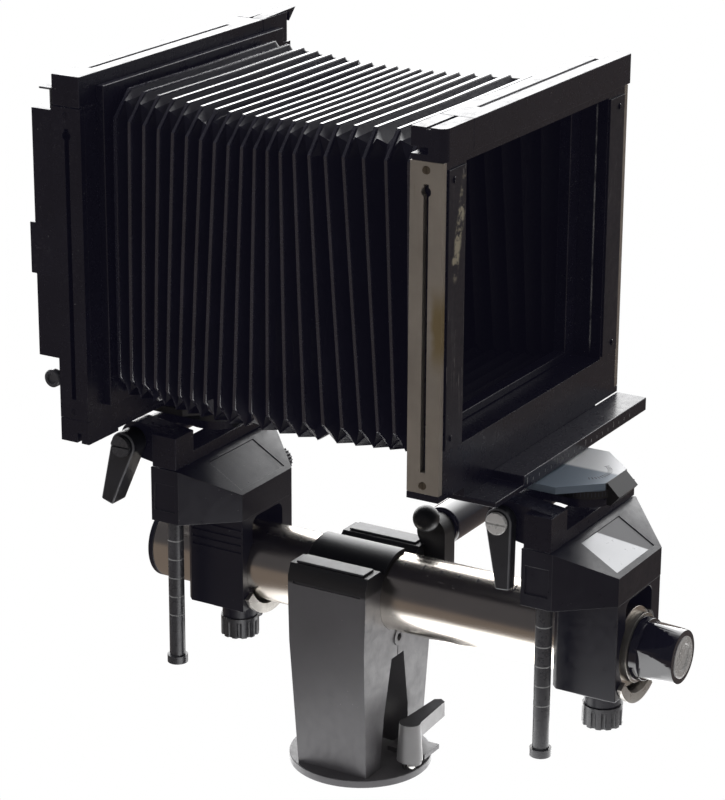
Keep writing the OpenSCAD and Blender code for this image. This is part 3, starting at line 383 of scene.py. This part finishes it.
# Lighter finish of the rounded edges, a painted edge highlight, by the finish of the faces
EDGE = {"black_enamel": paint_edge_highlight, "frame_enamel": paint_edge_highlight, "grey_tube": tube_edge_highlight,
        "table_lit_casting": cast_edge_highlight, "black_moulding": plastic_edge_highlight, "grey_moulding": grey_edge_highlight}
# Width of the rounded edges in mm, by a part of the node's name
ROUNDING = {"housing": 0.7, "bearer": 0.7, "clamp_body": 0.9, "clamp_jaw": 0.9, "end_knob": 1.6,
            "tilt_lever": 0.8, "clamp_lever": 1.2, "clamp_knob": 1.5, "name_plate": 0.15, "screws": 0.2,
            "posts": 0.15, "strips": 0.2, "tilt_axle": 0.25}
PLAIN_ROUNDING = 0.4
WELD_GAP = 0.01 * MM
FLAT_ANGLE = math.radians(1.0)
SHARP_ANGLE = math.radians(40)


def soften(obj, width, has_edge):
    """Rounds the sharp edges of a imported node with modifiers."""
    weld = obj.modifiers.new("weld", "WELD")
    weld.merge_threshold = WELD_GAP
    flat = obj.modifiers.new("flat", "DECIMATE")
    flat.decimate_type = "DISSOLVE"
    flat.angle_limit = FLAT_ANGLE
    bevel = obj.modifiers.new("bevel", "BEVEL")
    bevel.width = width * MM
    bevel.segments = 2
    bevel.limit_method = "ANGLE"
    bevel.angle_limit = SHARP_ANGLE
    bevel.use_clamp_overlap = True
    # The rounded edges get the lighter edge finish, a painted highlight
    if has_edge:
        bevel.material = 1
    obj.modifiers.new("normals", "WEIGHTED_NORMAL")


def rounding(name):
    """Width of a node's rounded edges, in mm."""
    for part, width in ROUNDING.items():
        if part in name:
            return width
    return PLAIN_ROUNDING


for name, obj in NODES.items():
    if name == "bellows_cloth":
        continue
    finish = FINISH[name]
    edge = EDGE.get(finish.mat.name)
    obj.data.materials.clear()
    obj.data.materials.append(finish.mat)
    if edge:
        obj.data.materials.append(edge.mat)
    obj.data.polygons.foreach_set("use_smooth", [True] * len(obj.data.polygons))
    obj.data.polygons.foreach_set("material_index", [0] * len(obj.data.polygons))
    soften(obj, rounding(name), edge is not None)

# Painted shade: the clamp lever's upper faces get a darker finish than its sides
FACING_UP = 0.9
lever = NODES["clamp_lever"].data
lever.materials.append(painted_shade_top.mat)
for face in lever.polygons:
    if face.normal.z > FACING_UP:
        face.material_index = 1


# Pieces
def keep(name, mesh, body=None):
    """Links a finished mesh as a piece, riding on a body."""
    ob = bpy.data.objects.new(name, mesh)
    bpy.context.scene.collection.objects.link(ob)
    if body:
        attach(ob, body)
    return ob


def smooth_mesh(name, verts, faces, finishes, face_finish=None):
    """A smooth mesh with its finishes; face_finish says which of them each face has."""
    mesh = bpy.data.meshes.new(name)
    mesh.from_pydata(verts, [], faces)
    for finish in finishes:
        mesh.materials.append(finish.mat)
    if face_finish:
        mesh.polygons.foreach_set("material_index", face_finish)
    mesh.polygons.foreach_set("use_smooth", [True] * len(mesh.polygons))
    mesh.update()
    return mesh


TURNED_SIDES = 40
TURNED_SHARP = math.radians(35)


def turned(name, profile, origin, along, finish, body):
    """A turned piece: profile is (distance along the axis, radius) in mm, starting and ending at radius 0."""
    along = Vector(along).normalized()
    across = along.orthogonal().normalized()
    third = along.cross(across)
    origin = Vector(origin)
    verts, faces, rows = [], [], []
    for far, radius in profile:
        spokes = TURNED_SIDES if radius > 0 else 1
        rows.append((len(verts), spokes))
        for k in range(spokes):
            turn = 2 * math.pi * k / TURNED_SIDES
            out = (across * math.cos(turn) + third * math.sin(turn)) * radius * MM
            verts.append(origin + along * far * MM + out)
    for (a, na), (b, nb) in zip(rows, rows[1:]):
        for k in range(TURNED_SIDES):
            n = (k + 1) % TURNED_SIDES
            ring = [a + k % na, a + n % na, b + n % nb, b + k % nb]
            faces.append(list(dict.fromkeys(ring)))
    mesh = smooth_mesh(name, verts, faces, [finish])
    mesh.set_sharp_from_angle(angle=TURNED_SHARP)
    return keep(name, mesh, body)


def bevelled(name, verts, faces, finish, body, width):
    """A closed piece from corner points in metres, with rounded edges."""
    bm = bmesh.new()
    points = [bm.verts.new(v) for v in verts]
    for face in faces:
        bm.faces.new([points[k] for k in face])
    bmesh.ops.recalc_face_normals(bm, faces=bm.faces[:])
    bmesh.ops.bevel(bm, geom=bm.edges[:] + bm.verts[:], offset=width, segments=2, affect="EDGES", profile=0.5,
                    clamp_overlap=True)
    mesh = bpy.data.meshes.new(name)
    bm.to_mesh(mesh)
    bm.free()
    mesh.materials.append(finish.mat)
    return keep(name, mesh, body)


# Geometry Nodes
def new_tree(name, inputs):
    """A tree with named inputs and the Material that its result gets."""
    tree = bpy.data.node_groups.new(name, "GeometryNodeTree")
    for label, kind in inputs + [("Material", "Material")]:
        tree.interface.new_socket(label, in_out="INPUT", socket_type="NodeSocket" + kind)
    tree.interface.new_socket("Geometry", in_out="OUTPUT", socket_type="NodeSocketGeometry")
    source = tree.nodes.new("NodeGroupInput")

    def node(kind, settings=(), **sockets):
        n = tree.nodes.new(kind)
        for key, value in settings:
            setattr(n, key, value)
        for key, value in sockets.items():
            feed(tree, n.inputs[key.replace("_", " ")], value)
        return n

    def close(instances):
        real = node("GeometryNodeRealizeInstances", Geometry=instances)
        dressed = node("GeometryNodeSetMaterial", Geometry=real.outputs[0],
                       Material=source.outputs["Material"])
        out = tree.nodes.new("NodeGroupOutput")
        tree.links.new(dressed.outputs[0], out.inputs[0])
        return tree

    return tree, source.outputs, node, close


def grow(name, tree, values, finish, body):
    """Runs a tree once and keeps its result as a plain mesh."""
    seed = bpy.data.objects.new(name + "_seed", bpy.data.meshes.new(name + "_seed"))
    bpy.context.scene.collection.objects.link(seed)
    mod = seed.modifiers.new("grow", "NODES")
    mod.node_group = tree
    for item in tree.interface.items_tree:
        if item.in_out == "INPUT":
            mod[item.identifier] = finish.mat if item.name == "Material" else values[item.name]
    bpy.context.view_layer.update()
    graph = bpy.context.evaluated_depsgraph_get()
    mesh = bpy.data.meshes.new_from_object(seed.evaluated_get(graph))
    mesh.name = name
    bpy.data.objects.remove(seed)
    return keep(name, mesh, body)


def tick_row_tree():
    """A straight row of ticks; each tick grows from Start along its own Z, and every Every-th is longer."""
    tree, inp, node, close = new_tree("tick_row", [
        ("Count", "Int"), ("Start", "Vector"), ("Step", "Vector"), ("Tick", "Vector"), ("Turn", "Vector"),
        ("Every", "Int"), ("Longer", "Float")])
    line = node("GeometryNodeMeshLine", Count=inp["Count"], Start_Location=inp["Start"], Offset=inp["Step"])
    half_up = vector_maths(tree, "MULTIPLY", inp["Tick"], (0, 0, 0.5))
    cube = node("GeometryNodeMeshCube", Size=inp["Tick"])
    stood = node("GeometryNodeTransform", Geometry=cube.outputs[0], Translation=half_up[0])
    index = node("GeometryNodeInputIndex")
    is_long = maths(tree, "LESS_THAN", maths(tree, "MODULO", index.outputs[0], inp["Every"]), 0.5)
    height = maths(tree, "MULTIPLY_ADD", is_long, inp["Longer"], 1.0)
    scale = node("ShaderNodeCombineXYZ", X=1.0, Y=1.0, Z=height)
    placed = node("GeometryNodeInstanceOnPoints", Points=line.outputs[0], Instance=stood.outputs[0],
                  Rotation=inp["Turn"], Scale=scale.outputs[0])
    return close(placed.outputs[0])


def tick_arc_tree():
    """Ticks round a vertical axis, from angle First in steps of Step, each pointing at the axis."""
    tree, inp, node, close = new_tree("tick_arc", [
        ("Count", "Int"), ("Centre", "Vector"), ("Radius", "Float"), ("First", "Float"), ("Step", "Float"),
        ("Tick", "Vector")])
    line = node("GeometryNodeMeshLine", Count=inp["Count"])
    index = node("GeometryNodeInputIndex")
    angle = maths(tree, "MULTIPLY_ADD", index.outputs[0], inp["Step"], inp["First"])
    turn = node("ShaderNodeCombineXYZ", Z=angle)
    arm = node("ShaderNodeCombineXYZ", Y=maths(tree, "MULTIPLY", inp["Radius"], -1.0))
    swung = node("ShaderNodeVectorRotate", [("rotation_type", "Z_AXIS")], Vector=arm.outputs[0], Angle=angle)
    spot = vector_maths(tree, "ADD", swung.outputs[0], inp["Centre"])
    points = node("GeometryNodeSetPosition", Geometry=line.outputs[0], Position=spot[0])
    cube = node("GeometryNodeMeshCube", Size=inp["Tick"])
    placed = node("GeometryNodeInstanceOnPoints", Points=points.outputs[0], Instance=cube.outputs[0],
                  Rotation=turn.outputs[0])
    return close(placed.outputs[0])


def ring_row_tree():
    """Flat rings round a line of points."""
    _, inp, node, close = new_tree("ring_row", [
        ("Count", "Int"), ("Start", "Vector"), ("Step", "Vector"), ("Radius", "Float"), ("Thick", "Float"),
        ("High", "Float")])
    line = node("GeometryNodeMeshLine", Count=inp["Count"], Start_Location=inp["Start"], Offset=inp["Step"])
    circle = node("GeometryNodeCurvePrimitiveCircle", Radius=inp["Radius"], Resolution=40)
    section = node("GeometryNodeCurvePrimitiveQuadrilateral", Width=inp["Thick"], Height=inp["High"])
    ring = node("GeometryNodeCurveToMesh", Curve=circle.outputs[0], Profile_Curve=section.outputs[0])
    placed = node("GeometryNodeInstanceOnPoints", Points=line.outputs[0], Instance=ring.outputs[0])
    return close(placed.outputs[0])


def slotted_head_tree():
    """Slotted screw heads on a line of points, with their axis along the turned Z."""
    tree, inp, node, close = new_tree("slotted_head", [
        ("Count", "Int"), ("Start", "Vector"), ("Step", "Vector"), ("Turn", "Vector"), ("Radius", "Float"),
        ("High", "Float")])
    line = node("GeometryNodeMeshLine", Count=inp["Count"], Start_Location=inp["Start"], Offset=inp["Step"])
    top_r = maths(tree, "MULTIPLY", inp["Radius"], 0.8)
    rim = node("GeometryNodeMeshCone", Vertices=28, Radius_Bottom=inp["Radius"], Radius_Top=top_r,
               Depth=inp["High"])
    slot = node("GeometryNodeMeshCube", Size=(10 * MM, 0.6 * MM, 0.5 * MM))
    rise = node("ShaderNodeCombineXYZ", Z=inp["High"])
    raised = node("GeometryNodeTransform", Geometry=slot.outputs[0], Translation=rise.outputs[0])
    cut = node("GeometryNodeMeshBoolean", [("operation", "DIFFERENCE")], Mesh_1=rim.outputs[0],
               Mesh_2=raised.outputs[0])
    placed = node("GeometryNodeInstanceOnPoints", Points=line.outputs[0], Instance=cut.outputs[0],
                  Rotation=inp["Turn"])
    return close(placed.outputs[0])


tick_row = tick_row_tree()
tick_arc = tick_arc_tree()
ring_row = ring_row_tree()
slotted_head = slotted_head_tree()

# White rings in the grooves of the posts
POST_FOOT_R = 5.2 * MM
POST_R = 4 * MM
RING_RISE = 26.3 * MM
RING_STEP = 10 * MM
RING_SINK = 0.1 * MM
for side in ("front", "rear"):
    lo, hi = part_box(side + "_posts")
    for hand, post_x in (("near", lo.x + POST_FOOT_R), ("far", hi.x - POST_FOOT_R)):
        grow("%s_%s_post_rings" % (side, hand), ring_row,
             {"Count": 5, "Start": (post_x, (lo.y + hi.y) / 2, lo.z + RING_RISE), "Step": (0, 0, RING_STEP),
              "Radius": POST_R - RING_SINK, "Thick": 0.18 * MM, "High": 0.6 * MM},
             ink_white, side + "_riser")

# Shift scale along the front edge of the shelf
SCALE_IN = 30.5 * MM
SCALE_DROP = 4.6 * MM
SHIFT_STEP = 6 * MM
shelf_lo, shelf_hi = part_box("front_shift_plate")
grow("shift_scale", tick_row,
     {"Count": 19, "Start": (shelf_lo.x + SCALE_IN, shelf_lo.y, shelf_hi.z - SCALE_DROP),
      "Step": (SHIFT_STEP, 0, 0), "Tick": (0.4 * MM, 0.12 * MM, 1.6 * MM), "Turn": (0, 0, 0), "Every": 5,
      "Longer": 0.9}, ink_white, "front_standard")

# Degree scale on the front swing table: marks on the slab's top and on the dial's rim
SWING_BACK = 2 * MM
TOP_SCALE_R = 11.4 * MM
DIAL_R = 19.5 * MM
DIAL_DROP = 5.2 * MM
post_lo, post_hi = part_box("front_posts")
swing_y = (post_lo.y + post_hi.y) / 2 - SWING_BACK
grow("swing_scale", tick_arc,
     {"Count": 15, "Centre": (0, swing_y, table_hi.z), "Radius": TOP_SCALE_R, "First": math.radians(-56),
      "Step": math.radians(8), "Tick": (0.45 * MM, 2.4 * MM, 0.1 * MM)},
     ink, "front_swinging")
grow("dial_rim_scale", tick_arc,
     {"Count": 41, "Centre": (0, swing_y, table_hi.z - DIAL_DROP), "Radius": DIAL_R,
      "First": math.radians(-100), "Step": math.radians(5), "Tick": (0.4 * MM, 0.1 * MM, 2.2 * MM)},
     ink, "front_swinging")

# Marks engraved along the top of the rail
MARK_TILT = math.radians(24)
MARK_STEP = 10 * MM
rail_lo, rail_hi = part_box("rail_tube")
rail_r = (rail_hi.x - rail_lo.x) / 2
rail_z = (rail_lo.z + rail_hi.z) / 2
first_mark = (-rail_r * math.sin(MARK_TILT), rail_lo.y + MARK_STEP, rail_z + rail_r * math.cos(MARK_TILT))
grow("rail_scale", tick_row,
     {"Count": 25, "Start": first_mark, "Step": (0, MARK_STEP, 0), "Tick": (0.12 * MM, 0.5 * MM, 2.2 * MM),
      "Turn": (0, math.radians(90) - MARK_TILT, 0), "Every": 5, "Longer": 0.9}, ink, "rail")

# Slotted heads over the side plates' screws and small screws in the front strips
SCREW_R = 1.9 * MM
HEAD_R = 1.8 * MM
HEAD_H = 0.3 * MM
STRIP_HEAD_R = 1.6 * MM
STRIP_SCREW_IN = 5 * MM
for side, finish in (("front", screw), ("rear", paint)):
    lo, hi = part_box(side + "_screws")
    mid_y = (lo.y + hi.y) / 2
    span_z = hi.z - lo.z - 2 * SCREW_R
    for hand, face_x, turn in (("near", lo.x, -90), ("far", hi.x, 90)):
        grow("%s_%s_screw_heads" % (side, hand), slotted_head,
             {"Count": 2, "Start": (face_x, mid_y, lo.z + SCREW_R), "Step": (0, 0, span_z),
              "Turn": (math.radians(35), math.radians(turn), 0), "Radius": HEAD_R, "High": HEAD_H},
             finish, side + "_standard")
strip_span_z = strips_hi.z - strips_lo.z - 2 * STRIP_SCREW_IN
for hand, screw_x in (("near", strips_lo.x + STRIP_SCREW_IN), ("far", strips_hi.x - STRIP_SCREW_IN)):
    grow("%s_strip_screws" % hand, slotted_head,
         {"Count": 2, "Start": (screw_x, strips_lo.y, strips_lo.z + STRIP_SCREW_IN),
          "Step": (0, 0, strip_span_z), "Turn": (math.radians(90), 0, math.radians(25)),
          "Radius": STRIP_HEAD_R, "High": HEAD_H}, grey, "front_standard")

# Silver insert in the face of the end knob
INSERT = [(0, 0), (0, 5.8), (0.98, 5.8), (1.0, 10.2), (1.3, 10.2), (1.6, 9.6), (1.7, 7.2), (1.2, 6.4),
          (0.7, 5.6), (0.6, 0)]
INSERT_SINK = 1 * MM
knob_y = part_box("rail_end_knob")[0].y
turned("end_knob_insert", INSERT, (0, knob_y + INSERT_SINK, rail_z), (0, -1, 0), bright_steel, "end_knob")

# Small catch knob at the foot of the ground-glass back
CATCH = [(0, 0), (0, 3.6), (1.0, 3.6), (1.4, 4.4), (4.0, 4.4), (4.6, 3.9), (4.6, 2.6), (3.6, 2.2), (3.6, 0)]
CATCH_IN = 4 * MM
CATCH_BACK = 4.5 * MM
CATCH_UP = 30 * MM
frame_lo, frame_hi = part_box("rear_frame")
turned("back_catch", CATCH, (frame_lo.x + CATCH_IN, frame_hi.y + CATCH_BACK, frame_lo.z + CATCH_UP),
       (-1, 0, 0), tube, "rear_standard")

# Spring clip on the rear frame's corner block: its top rises to a point past the frame's far end
CLIP_LEN = 23 * MM
CLIP_OUT = 6.3 * MM
CLIP_RISE = 1.4 * MM
CLIP_LIP = 5 * MM
CLIP_W = 7 * MM
CLIP_IN = 0.8 * MM
CLIP_PROUD = 0.05 * MM
CLIP_SINK = 0.3 * MM
CLIP_EDGE = 0.12 * MM
clip_y = frame_lo.y + CLIP_IN
clip_side = [(frame_hi.x - CLIP_LEN, frame_hi.z + CLIP_PROUD),
             (frame_hi.x + CLIP_OUT, frame_hi.z + CLIP_RISE),
             (frame_hi.x + CLIP_PROUD, frame_hi.z - CLIP_LIP),
             (frame_hi.x + CLIP_PROUD, frame_hi.z - CLIP_SINK),
             (frame_hi.x - CLIP_LEN, frame_hi.z - CLIP_SINK)]
clip_n = len(clip_side)
clip_verts = [(x, y, z) for y in (clip_y, clip_y + CLIP_W) for x, z in clip_side]
clip_faces = [list(range(clip_n)), list(range(clip_n, 2 * clip_n))]
clip_faces += [[k, (k + 1) % clip_n, (k + 1) % clip_n + clip_n, k + clip_n] for k in range(clip_n)]
bevelled("rear_corner_clip", clip_verts, clip_faces, paint, "rear_standard", CLIP_EDGE)

# Bellows, in mm: folds between the two bellows frames, wider apart where the cloth is drawn out
bellows_lo, bellows_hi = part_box("bellows_cloth")
frame_back_lo, frame_back_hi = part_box("rear_bellows_frame")
Y0, Y1 = bellows_lo.y / MM, bellows_hi.y / MM
HALF = (bellows_hi.x - bellows_lo.x) / 2 / MM
AXIS_Z = (frame_back_lo.z + frame_back_hi.z) / 2 / MM
DEPTH = 12.0
FOLDS = 20
STATIONS = 2 * FOLDS
THICK = 0.7
SAG = 5.0
CREST_CUT = 12.0
VALLEY_CUT = 1.5
EAR_INSET = 3.0
# A crest bows in at the top and out below and, less, at the sides
BOW = 0.5
SIDE_BOW = 0.6
# Folds stand a little off the middle, each its own way
WOBBLE = 0.35
WOBBLE_RATE = 12.9898
# Where a fold's pitch differs: place from the front, width and growth
TOP_PITCH = ((0.47, 0.17, -0.2), (0.05, 0.13, 0.5))
LOW_PITCH = ((0.33, 0.25, 0.6),)
# Rounded section of a crest: along the rail, and in from the outermost point
CREST = ((-1.05, 0.8), (-0.95, 0.25), (-0.75, 0.02), (0.75, 0.02), (0.95, 0.25), (1.05, 0.8))
RING_POINTS = 16
CREASE_SHARP = math.radians(38)


def fold_stations(bells):
    """Valleys and crests in turn, from the front end of the bellows to the rear."""
    pitch = []
    for i in range(STATIONS):
        s = (i + 0.5) / STATIONS
        pitch.append(1 + sum(grow_by * math.exp(-((s - at) / width) ** 2) for at, width, grow_by in bells))
    places = [Y0]
    for p in pitch:
        places.append(places[-1] + p * (Y1 - Y0) / sum(pitch))
    return places


top_y = fold_stations(TOP_PITCH)
low_y = fold_stations(LOW_PITCH)


def corner_points(half, crest, ear):
    """Side, corner and top points of the upper far corner, from the bellows' middle."""
    if crest:
        middle = half - CREST_CUT / 2
        return [(half, half - CREST_CUT), (middle, middle), (half - CREST_CUT, half)]
    return [(half, half - VALLEY_CUT), (ear, ear), (half - VALLEY_CUT, half)]


def fold_ring(i, along, inward, inset):
    """Sixteen points round the bellows at station i, moved along the rail and inward."""
    crest = i % 2 == 1
    at_end = i in (0, STATIONS)
    half = HALF - (0 if crest else DEPTH) - inward - inset
    drop = SAG * math.sin(math.pi * (i / STATIONS))
    wobble = 0 if at_end else WOBBLE * math.sin(WOBBLE_RATE * i)
    c = corner_points(half, crest, half - VALLEY_CUT / 2 if at_end else HALF - EAR_INSET - inset)
    bow = BOW if crest else 0.0
    quarter = [c[0], c[1], c[2], (0, half - bow)]
    mirrored = [(-x, z) for x, z in (c[2], c[1], c[0])] + [(-half - bow * SIDE_BOW, 0)]
    lower = [(-x, -z) for x, z in c] + [(0, -half - bow)]
    last = [(x, -z) for x, z in (c[2], c[1], c[0])] + [(half + bow * SIDE_BOW, 0)]
    points = []
    for x, z in quarter + mirrored + lower + last:
        lift = (z + HALF) / (2 * HALF)
        y = low_y[i] + (top_y[i] - low_y[i]) * lift + along
        points.append(((x + wobble) * MM, y * MM, (AXIS_Z - drop + z) * MM))
    return points


def bellows_mesh():
    """The whole bellows: an outer and an inner skin, with crests and corners in their own finishes."""
    sections = []
    for i in range(STATIONS + 1):
        if i % 2 == 1:
            sections += [(i, along, inward) for along, inward in CREST]
        else:
            sections.append((i, 0.0, 0.0))
    n = RING_POINTS
    verts, faces, finish = [], [], []
    for inset in (0.0, THICK):
        for i, along, inward in sections:
            verts += fold_ring(i, along, inward, inset)
    rows = len(sections)
    for layer in (0, 1):
        base = layer * rows * n
        for r in range(rows - 1):
            on_crest = sections[r][0] == sections[r + 1][0]
            for k in range(n):
                a = base + r * n + k
                b = base + r * n + (k + 1) % n
                quad = [a, a + n, b + n, b]
                faces.append(quad if layer == 0 else quad[::-1])
                in_corner = k % 4 in (0, 1)
                finish.append(3 if layer else 1 if on_crest else 2 if in_corner else 0)
    return smooth_mesh("bellows", verts, faces, [cloth, crease, corner, hollow], finish)


def cut_between(mesh, name, start, stop):
    """A copy of the mesh between two planes across the rail, in mm, with the cut rims closed."""
    bm = bmesh.new()
    bm.from_mesh(mesh)
    for at, normal in ((start, -1), (stop, 1)):
        whole = bm.verts[:] + bm.edges[:] + bm.faces[:]
        bmesh.ops.bisect_plane(bm, geom=whole, dist=1e-7, plane_co=(0, at * MM, 0), plane_no=(0, normal, 0),
                               clear_outer=True)
    bmesh.ops.triangulate(bm, faces=[f for f in bm.faces if len(f.verts) > 4])
    rims = [e for e in bm.edges if e.is_boundary]
    middle = (start + stop) / 2 * MM
    for front_rim in (True, False):
        rim = [e for e in rims if (e.verts[0].co.y < middle) == front_rim]
        bmesh.ops.bridge_loops(bm, edges=rim)
    bmesh.ops.recalc_face_normals(bm, faces=bm.faces[:])
    piece_mesh = bpy.data.meshes.new(name)
    bm.to_mesh(piece_mesh)
    bm.free()
    for m in mesh.materials:
        piece_mesh.materials.append(m)
    piece_mesh.set_sharp_from_angle(angle=CREASE_SHARP)
    return piece_mesh


# Each stretch of the bellows lies between two neighbouring bodies of the chain of movements, with its share
CHAIN = [("front_standard", "front_swinging", 4), ("front_swinging", "front_tilting", 16),
         ("front_tilting", "front_riser", 30), ("front_riser", "front_carrier", 4),
         ("front_carrier", "rail", 38), ("rail", "rear_carrier", 20.2), ("rear_carrier", "rear_riser", 4),
         ("rear_riser", "rear_tilting", 30), ("rear_tilting", "rear_swinging", 16),
         ("rear_swinging", "rear_standard", 4)]
# The two end stretches reach past the ends, so that they keep their whole rims
END_REACH = 1
whole_bellows = bellows_mesh()
chain_total = sum(share for _, _, share in CHAIN)
start = Y0
for i, (body_a, body_b, share) in enumerate(CHAIN):
    stop = start + share * (Y1 - Y0) / chain_total
    low_end = start - END_REACH if i == 0 else start
    high_end = stop + END_REACH if i == len(CHAIN) - 1 else stop
    name = "bellows_%02d" % i
    stretch = keep(name, cut_between(whole_bellows, name, low_end, high_end))
    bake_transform(stretch)
    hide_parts("bellows_cloth")
    start = stop

# Camera
AZIMUTH = math.radians(-59.464)
ELEVATION = math.radians(19.054)
ROLL = math.radians(0.313)
DISTANCE = 1.40262
TARGET = Vector((0.022769, 0.013380, 0.181880))
FOCAL_PIXELS = 2834.3
IMAGE_HEIGHT = 800
SENSOR = 36
back = Vector((math.sin(AZIMUTH) * math.cos(ELEVATION), -math.cos(AZIMUTH) * math.cos(ELEVATION),
               math.sin(ELEVATION)))
level = Vector((math.cos(AZIMUTH), math.sin(AZIMUTH), 0))
upright = back.cross(level)
right = level * math.cos(ROLL) + upright * math.sin(ROLL)
up = upright * math.cos(ROLL) - level * math.sin(ROLL)
cam_data = bpy.data.cameras.new("camera")
cam = bpy.data.objects.new("camera", cam_data)
bpy.context.scene.collection.objects.link(cam)
cam.matrix_world = Matrix((right, up, back)).transposed().to_4x4()
cam.location = TARGET + back * DISTANCE
cam_data.sensor_width = SENSOR
cam_data.lens = FOCAL_PIXELS * SENSOR / IMAGE_HEIGHT
cam_data.clip_start, cam_data.clip_end = 0.05, 20
bpy.context.scene.camera = cam


# Floor, surroundings and lamps
def by_ray(nt, seen, glossy, rest):
    """Shows one shader to the camera, another in reflections, and a third to all other rays."""
    path = nt.nodes.new("ShaderNodeLightPath")
    shiny = maths(nt, "MAXIMUM", path.outputs["Is Glossy Ray"], path.outputs["Is Transmission Ray"])
    result = rest
    for fac, shader in ((shiny, glossy), (path.outputs["Is Camera Ray"], seen)):
        mix = nt.nodes.new("ShaderNodeMixShader")
        nt.links.new(fac, mix.inputs[0])
        nt.links.new(result, mix.inputs[1])
        nt.links.new(shader, mix.inputs[2])
        result = mix.outputs[0]
    return result


def emission(nt, kind, color, strength=1.0):
    """A glowing surface or background."""
    n = nt.nodes.new(kind)
    feed(nt, n.inputs["Color"], color)
    n.inputs["Strength"].default_value = strength
    return n.outputs[0]


# The floor is white to the camera; in reflections it is bright near the foot and dim further out
FLOOR_HALF = 6.0
FLOOR_PALE = (0.82, 0.82, 0.82, 1)
FLOOR_ROUGH = 0.7
WHITE = (1, 1, 1, 1)
BRIGHT_EDGE = (0.12, 0.20)
BRIGHT_CENTRE = (0, -0.075, 0)
BRIGHT_FLOOR = (3.5, 3.5, 3.5, 1)
FAR_FLOOR = (0.19, 0.16, 0.14, 1)
floor_corners = [(-FLOOR_HALF, -FLOOR_HALF, 0), (FLOOR_HALF, -FLOOR_HALF, 0), (FLOOR_HALF, FLOOR_HALF, 0),
                 (-FLOOR_HALF, FLOOR_HALF, 0)]
floor_mesh = bpy.data.meshes.new("floor")
floor_mesh.from_pydata(floor_corners, [], [(0, 1, 2, 3)])
floor = bpy.data.objects.new("floor", floor_mesh)
bpy.context.scene.collection.objects.link(floor)
floor_mat = bpy.data.materials.new("pale_floor")
floor_mat.use_nodes = True
floor_mesh.materials.append(floor_mat)
nt = floor_mat.node_tree
matte = nt.nodes["Principled BSDF"]
matte.inputs["Base Color"].default_value = FLOOR_PALE
matte.inputs["Roughness"].default_value = FLOOR_ROUGH
coord = nt.nodes.new("ShaderNodeTexCoord")
radius = vector_maths(nt, "DISTANCE", coord.outputs["Object"], BRIGHT_CENTRE)
outside = smooth_range(nt, radius["Value"], *BRIGHT_EDGE)
glow = emission(nt, "ShaderNodeEmission", mix_color(nt, outside, BRIGHT_FLOOR, FAR_FLOOR))
seen = emission(nt, "ShaderNodeEmission", WHITE)
nt.links.new(by_ray(nt, seen, glow, matte.outputs[0]), nt.nodes["Material Output"].inputs[0])

# The surroundings are white to the camera; in reflections they brighten behind the object
DARK_SIDE = (0.07, 0.068, 0.074, 1)
BACKDROP = (5, 5, 5, 1)
BACKDROP_RISE = 0.26
DIM_REACH = (0.3, 0.75)
BRIGHT_REACH = (0.6, 0.93)
SOFT_LIGHT = 0.3
world = bpy.data.worlds.new("studio")
bpy.context.scene.world = world
world.use_nodes = True
nt = world.node_tree
nt.nodes.clear()
coord = nt.nodes.new("ShaderNodeTexCoord")
behind = Vector((-back.x, -back.y, BACKDROP_RISE)).normalized()
away = vector_maths(nt, "DOT_PRODUCT", coord.outputs["Generated"], behind)
dim = smooth_range(nt, away["Value"], *DIM_REACH)
bright = smooth_range(nt, away["Value"], *BRIGHT_REACH)
wall = mix_color(nt, bright, mix_color(nt, dim, DARK_SIDE, WHITE), BACKDROP)
shine = emission(nt, "ShaderNodeBackground", wall)
seen = emission(nt, "ShaderNodeBackground", WHITE)
soft = emission(nt, "ShaderNodeBackground", WHITE, SOFT_LIGHT)
out = nt.nodes.new("ShaderNodeOutputWorld")
nt.links.new(by_ray(nt, seen, shine, soft), out.inputs[0])

LAMP_AIM = Vector((0, 0, 0.2))


def soft_lamp(name, place, size, power):
    """A square area lamp aimed at the object, unseen in reflections."""
    data = bpy.data.lights.new(name, "AREA")
    data.shape = "RECTANGLE"
    data.size = data.size_y = size
    data.energy = power
    ob = bpy.data.objects.new(name, data)
    bpy.context.scene.collection.objects.link(ob)
    ob.location = place
    ob.visible_glossy = False
    ob.rotation_mode = "QUATERNION"
    ob.rotation_quaternion = (LAMP_AIM - Vector(place)).to_track_quat("-Z", "Y")


soft_lamp("top_soft", (0.5, 0.4, 1.5), 1.4, 22)
soft_lamp("left_soft", (-1.2, 0.7, 0.9), 0.8, 4)
soft_lamp("right_soft", (0.6, -1.4, 0.9), 0.7, 1.5)

bpy.context.scene.view_settings.view_transform = "Standard"
